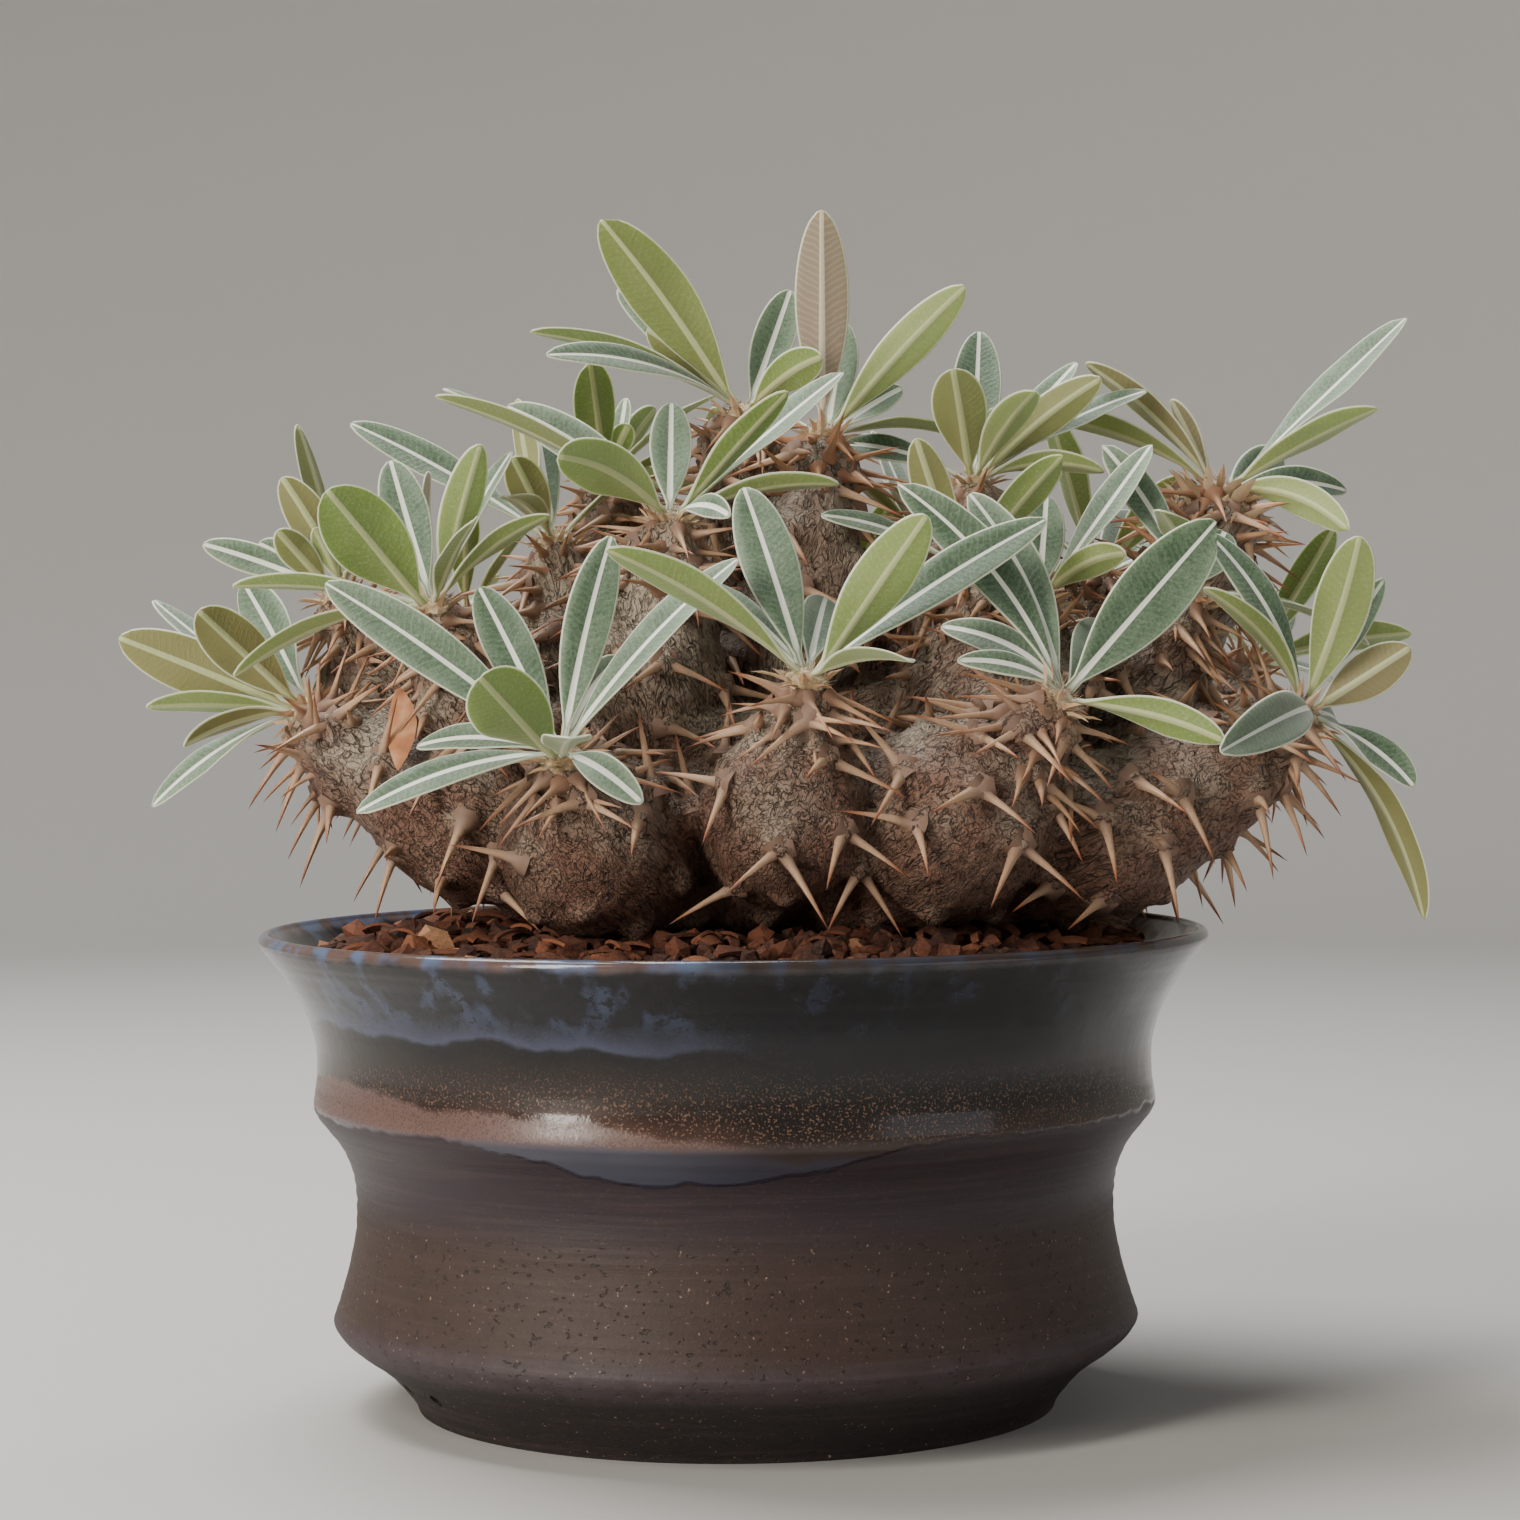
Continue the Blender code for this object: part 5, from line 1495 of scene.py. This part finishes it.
class PLANT_OT_grow_caudex(bpy.types.Operator):
    """Make the swollen body: its limbs, the tubercles under the spines and the root in the soil"""

    bl_idname = "plant.grow_caudex"
    bl_label = "Grow the caudex"

    def execute(self, context):
        settings = context.scene.plant_caudex
        paths, skin, _ = layout()
        sites = spine_sites()
        # The body is a little slimmer than its solid, which leaves room for the folds in its bark, and
        # each tubercle is a wide low ball with a small one on it.
        balls = [(centre, radius - 0.5 * MM) for centre, radius in heart_balls()]
        balls += [(centre, radius - 0.55 * MM) for path in paths.values() for centre, radius in path]
        for foot, side, _ in sites:
            balls += [(foot - side * 1.6 * MM, 3.7 * MM), (foot + side * 0.4 * MM, 2.3 * MM)]
        body = swollen(balls, settings.voxel / MM, 3, 3)
        boolean(body, [soil_cutter(-1.2, 96)], "DIFFERENCE")
        root = prism("root", Vector((0, 0, 0)), UP, PLUG_RADIUS, PLUG_BOTTOM, PLUG_TOP, PLAIN_SIDES)
        keep_largest(boolean(body, [root], "UNION"))
        store(body, "bark", fold_bark(body, skin, sites))
        body.name = "caudex_bark"
        place(body, wrinkled_bark(settings), "bark", "caudex", crease=180)
        return {"FINISHED"}


class PLANT_OT_grow_spines(bpy.types.Operator):
    """Make the pairs of spines on the tubercles and the whorls of spines under each growing tip"""

    bl_idname = "plant.grow_spines"
    bl_label = "Grow the spines"

    def execute(self, context):
        _, skin, heads = layout()
        shapes = [blade(*leaf) for leaves in heads.values() for leaf, _ in leaves]
        material = woody_spine(context.scene.plant_caudex)
        draw = random.Random(9)
        pairs = Pile("spine")
        blades = [tree_of(*shape) for shape in shapes]
        for foot, side, along in spine_sites():
            for hand in (-1, 1):
                aim, length = spine_aim(foot, side, along, hand)
                if spine_clear(foot, aim, length, skin, blades):
                    sag = (Vector((0, 0, -0.7)) - along * 0.6).normalized()
                    add_spine(pairs, foot + side * 0.2 * MM, aim, length, sag, draw)
        place(pairs.to_object("spines"), material, "bark", "caudex", crease=60)

        whorls = Pile("spine")
        blades = [tree_of(*past_the_stalk(*shape)) for shape in shapes]
        for name, (depth, count) in itertools.product(LIMBS, CROWN_WHORLS):
            crown, axis = crown_frame(name)
            middle = crown - axis * depth * MM
            start = draw.uniform(0, 2 * math.pi)
            for k in range(count):
                out = beside(axis, start + 2 * math.pi * (k + draw.uniform(-0.25, 0.25)) / count)
                foot = on_neck(skin, name, middle, out)
                if foot is None:
                    continue
                lean = draw.uniform(-0.55, 0.5)
                stray = out.cross(axis) * draw.uniform(-0.5, 0.5)
                aim = (out * math.cos(lean) + axis * math.sin(lean) + stray).normalized()
                length = draw.uniform(8.0, 14.0) * MM
                if spine_clear(foot, aim, length, skin, blades):
                    warmth = draw.uniform(0.5, 1.0) if name in WARM_CROWNS else draw.uniform(0.0, 0.3)
                    root = foot - out * 0.3 * MM
                    add_spine(whorls, root, aim, length, -axis, draw, warmth, girth=0.8)
        place(whorls.to_object("crown_spines"), material, "bark", "caudex", crease=60)
        return {"FINISHED"}


class PLANT_OT_grow_leaves(bpy.types.Operator):
    """Make every head of leaves, each in place of its CAD solid"""

    bl_idname = "plant.grow_leaves"
    bl_label = "Grow the leaves"

    def execute(self, context):
        material = felted_leaf(context.scene.plant_leaves)
        _, _, heads = layout()
        for name, leaves in heads.items():
            draw = random.Random("blade " + name)
            head = Pile("blade", "leaf")
            for leaf, tint in leaves:
                verts, faces, shape, sides = smooth_blade(leaf, draw)
                tone = draw.random()
                head.add(verts, faces, blade=shape, leaf=[(side, tone, tint) for side in sides])
            low, high = (corner - POT_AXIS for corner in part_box("leaves_" + name))
            head.verts = [Vector(map(held_between, low, vert, high)) for vert in head.verts]
            place(head.to_object("head_" + name), material, "leaf", "leaves_" + name, crease=180)
        return {"FINISHED"}


class PLANT_OT_grow_wool(bpy.types.Operator):
    """Make the wool and the dry scales at the growing tips"""

    bl_idname = "plant.grow_wool"
    bl_label = "Grow the wool"

    def execute(self, context):
        wool, scales = Pile(), Pile("bract")
        _, skin, _ = layout()
        for name in LIMBS:
            draw = random.Random("wool " + name)
            crown, axis = crown_frame(name)
            spread = LIMBS[name].neck * 0.62
            wool.add(*cushion(crown, axis, spread))
            for k in range(CROWN_HAIRS):
                lean = math.sqrt(draw.random()) * 1.5
                aim = axis * math.cos(lean) + beside(axis, k * GOLDEN_ANGLE) * math.sin(lean)
                foot = crown + aim * (2.4 + (spread - 2.6) * math.sin(lean)) * MM
                stray = Vector([draw.gauss(0, 0.45) for _ in range(3)])
                wool.add(*hair(foot, (aim + stray).normalized(), draw.uniform(0.9, 2.2) * MM))
            for k in range(CROWN_SCALES):
                out = beside(axis, k * GOLDEN_ANGLE + 1.0)
                lean = draw.uniform(0.4, 1.2)
                foot = crown + out * draw.uniform(2.0, spread) * MM
                size = draw.uniform(3.5, 6.5) * MM, draw.uniform(1.0, 1.8) * MM
                aim = axis * math.cos(lean) + out * math.sin(lean)
                scales.add(*scale(foot, aim, axis, *size), bract=(0.0, draw.uniform(0.2, 0.9), 0.0))
            for k in range(DRY_CROWN_SCALES if name == DRY_CROWN else 0):
                out = beside(axis, k * GOLDEN_ANGLE)
                foot = on_neck(skin, name, crown - axis * draw.uniform(0.5, 10.0) * MM, out)
                if foot is None:
                    continue
                aim = (axis * draw.uniform(0.5, 1.0) + out * draw.uniform(0.35, 0.8)).normalized()
                size = draw.uniform(4.5, 8.0) * MM, draw.uniform(1.8, 3.2) * MM
                scales.add(*scale(foot - out * 0.5 * MM, aim, axis, *size), bract=(0.0, 1.0, 0.0))
        # One dead leaf still hangs on the far left limb, in front of its bark.
        foot, end = seen(-63, 134.5, -28), seen(-60.5, 118, -33)
        aim, length = (end - foot).normalized(), (end - foot).length
        dead = scale(foot, aim, Vector((0.4, 1, 0)), length, 6.4 * MM, DEAD_LEAF_OUTLINE)
        scales.add(*dead, bract=(1.0, 0.0, 0.0))
        place(wool.to_object("crown_wool"), crown_wool(), "leaf", crease=180)
        place(scales.to_object("dry_scales"), dry_bract(), "leaf", crease=60)
        return {"FINISHED"}


class PLANT_OT_set_stage(bpy.types.Operator):
    """Set the pale floor, the soft lights and the camera at the photograph's angle"""

    bl_idname = "plant.set_stage"
    bl_label = "Set the stage"

    def execute(self, context):
        scene = context.scene
        settings = scene.plant_stage
        # The paper curves up all round, so every view has the same plain ground behind it.
        flat, bend_radius, height, sides = 1.25, 0.5, 1.0, 120
        sweep = [(1.1, 0.0)]
        for k in range(13):
            bend = math.pi / 2 * k / 12
            reach = flat + bend_radius * math.sin(bend)
            sweep.append((reach, bend_radius - bend_radius * math.cos(bend)))
        sweep.append((flat + bend_radius, height))
        turns = [2 * math.pi * k / sides for k in range(sides)]
        rings = itertools.product(sweep, turns)
        verts = [(reach * math.cos(turn), reach * math.sin(turn), z) for (reach, z), turn in rings]
        faces = [tuple(range(sides))]
        for low in range(0, (len(sweep) - 1) * sides, sides):
            for k in range(sides):
                after = (k + 1) % sides
                faces.append((low + k, low + sides + k, low + sides + after, low + after))
        floor = mesh_object("floor", verts, faces)
        floor.data.shade_smooth()
        material, _ = new_material("matte_paper_sweep")
        floor.data.materials.append(paint(material, "#bcbab6", Roughness=0.9))

        aim_at = Vector((0, 0, 0.11))
        lights = (
            ("key", (-0.95, -0.95, 0.68), (0.32, 1.3), settings.key, "#fff8ee"),
            ("top", (-0.35, 0.30, 1.15), (0.8, 0.7), settings.top, "#ffffff"),
            ("fill", (1.05, -0.75, 0.5), (0.8, 0.8), settings.fill, "#e9f0ff"),
        )
        for name, spot, (wide, high), power, code in lights:
            lamp = bpy.data.lights.new(name, "AREA")
            lamp.shape = "RECTANGLE"
            lamp.size = wide
            lamp.size_y = high
            lamp.energy = power
            lamp.color = linear(code)[:3]
            made = bpy.data.objects.new(name, lamp)
            made.location = POT_AXIS + Vector(spot)
            made.rotation_euler = (aim_at - Vector(spot)).to_track_quat("-Z", "Y").to_euler()
            scene.collection.objects.link(made)
        world = bpy.data.worlds.new("studio")
        world.use_nodes = True
        light = world.node_tree.nodes["Background"].inputs
        light["Color"].default_value = linear("#e4e6ea")
        light["Strength"].default_value = settings.sky
        scene.world = world

        # The camera's place, tilt and lens are those fitted to the photograph.
        camera = bpy.data.cameras.new("camera")
        camera.lens = settings.lens
        camera.sensor_width = 36.0
        camera.clip_start = 0.01
        seat = bpy.data.objects.new("camera", camera)
        seat.location = POT_AXIS + Vector((5.3, -696.0, 134.6)) * MM
        seat.rotation_euler = (math.radians(90 - 1.15), math.radians(settings.roll), 0.0)
        scene.collection.objects.link(seat)
        scene.camera = seat
        return {"FINISHED"}


class PLANT_PT_panel(bpy.types.Panel):
    """Sidebar panel with the plant's settings and steps."""

    bl_idname = "PLANT_PT_panel"
    bl_label = "Potted caudex plant"
    bl_space_type = "VIEW_3D"
    bl_region_type = "UI"
    bl_category = "Plant"

    def draw(self, context):
        for group in GROUPS:
            settings = getattr(context.scene, group)
            box = self.layout.box()
            for name in settings.__annotations__:
                box.prop(settings, name)
        for operator in OPERATORS:
            self.layout.operator(operator.bl_idname)


GROUPS = {
    "plant_pot": PlantPot, "plant_soil": PlantSoil, "plant_caudex": PlantCaudex,
    "plant_leaves": PlantLeaves, "plant_stage": PlantStage,
}
OPERATORS = (
    PLANT_OT_throw_pot, PLANT_OT_fill_soil, PLANT_OT_grow_caudex, PLANT_OT_grow_spines,
    PLANT_OT_grow_leaves, PLANT_OT_grow_wool, PLANT_OT_set_stage,
)


def register():
    for made in (*GROUPS.values(), *OPERATORS, PLANT_PT_panel):
        bpy.utils.register_class(made)
    for name, group in GROUPS.items():
        setattr(bpy.types.Scene, name, PointerProperty(type=group))


def unregister():
    for name in GROUPS:
        delattr(bpy.types.Scene, name)
    for made in reversed((*GROUPS.values(), *OPERATORS, PLANT_PT_panel)):
        bpy.utils.unregister_class(made)


def main():
    register()
    bpy.ops.plant.throw_pot()
    bpy.ops.plant.fill_soil()
    bpy.ops.plant.grow_caudex()
    bpy.ops.plant.grow_spines()
    bpy.ops.plant.grow_leaves()
    bpy.ops.plant.grow_wool()
    bpy.ops.plant.set_stage()


if __name__ == "__main__":
    main()
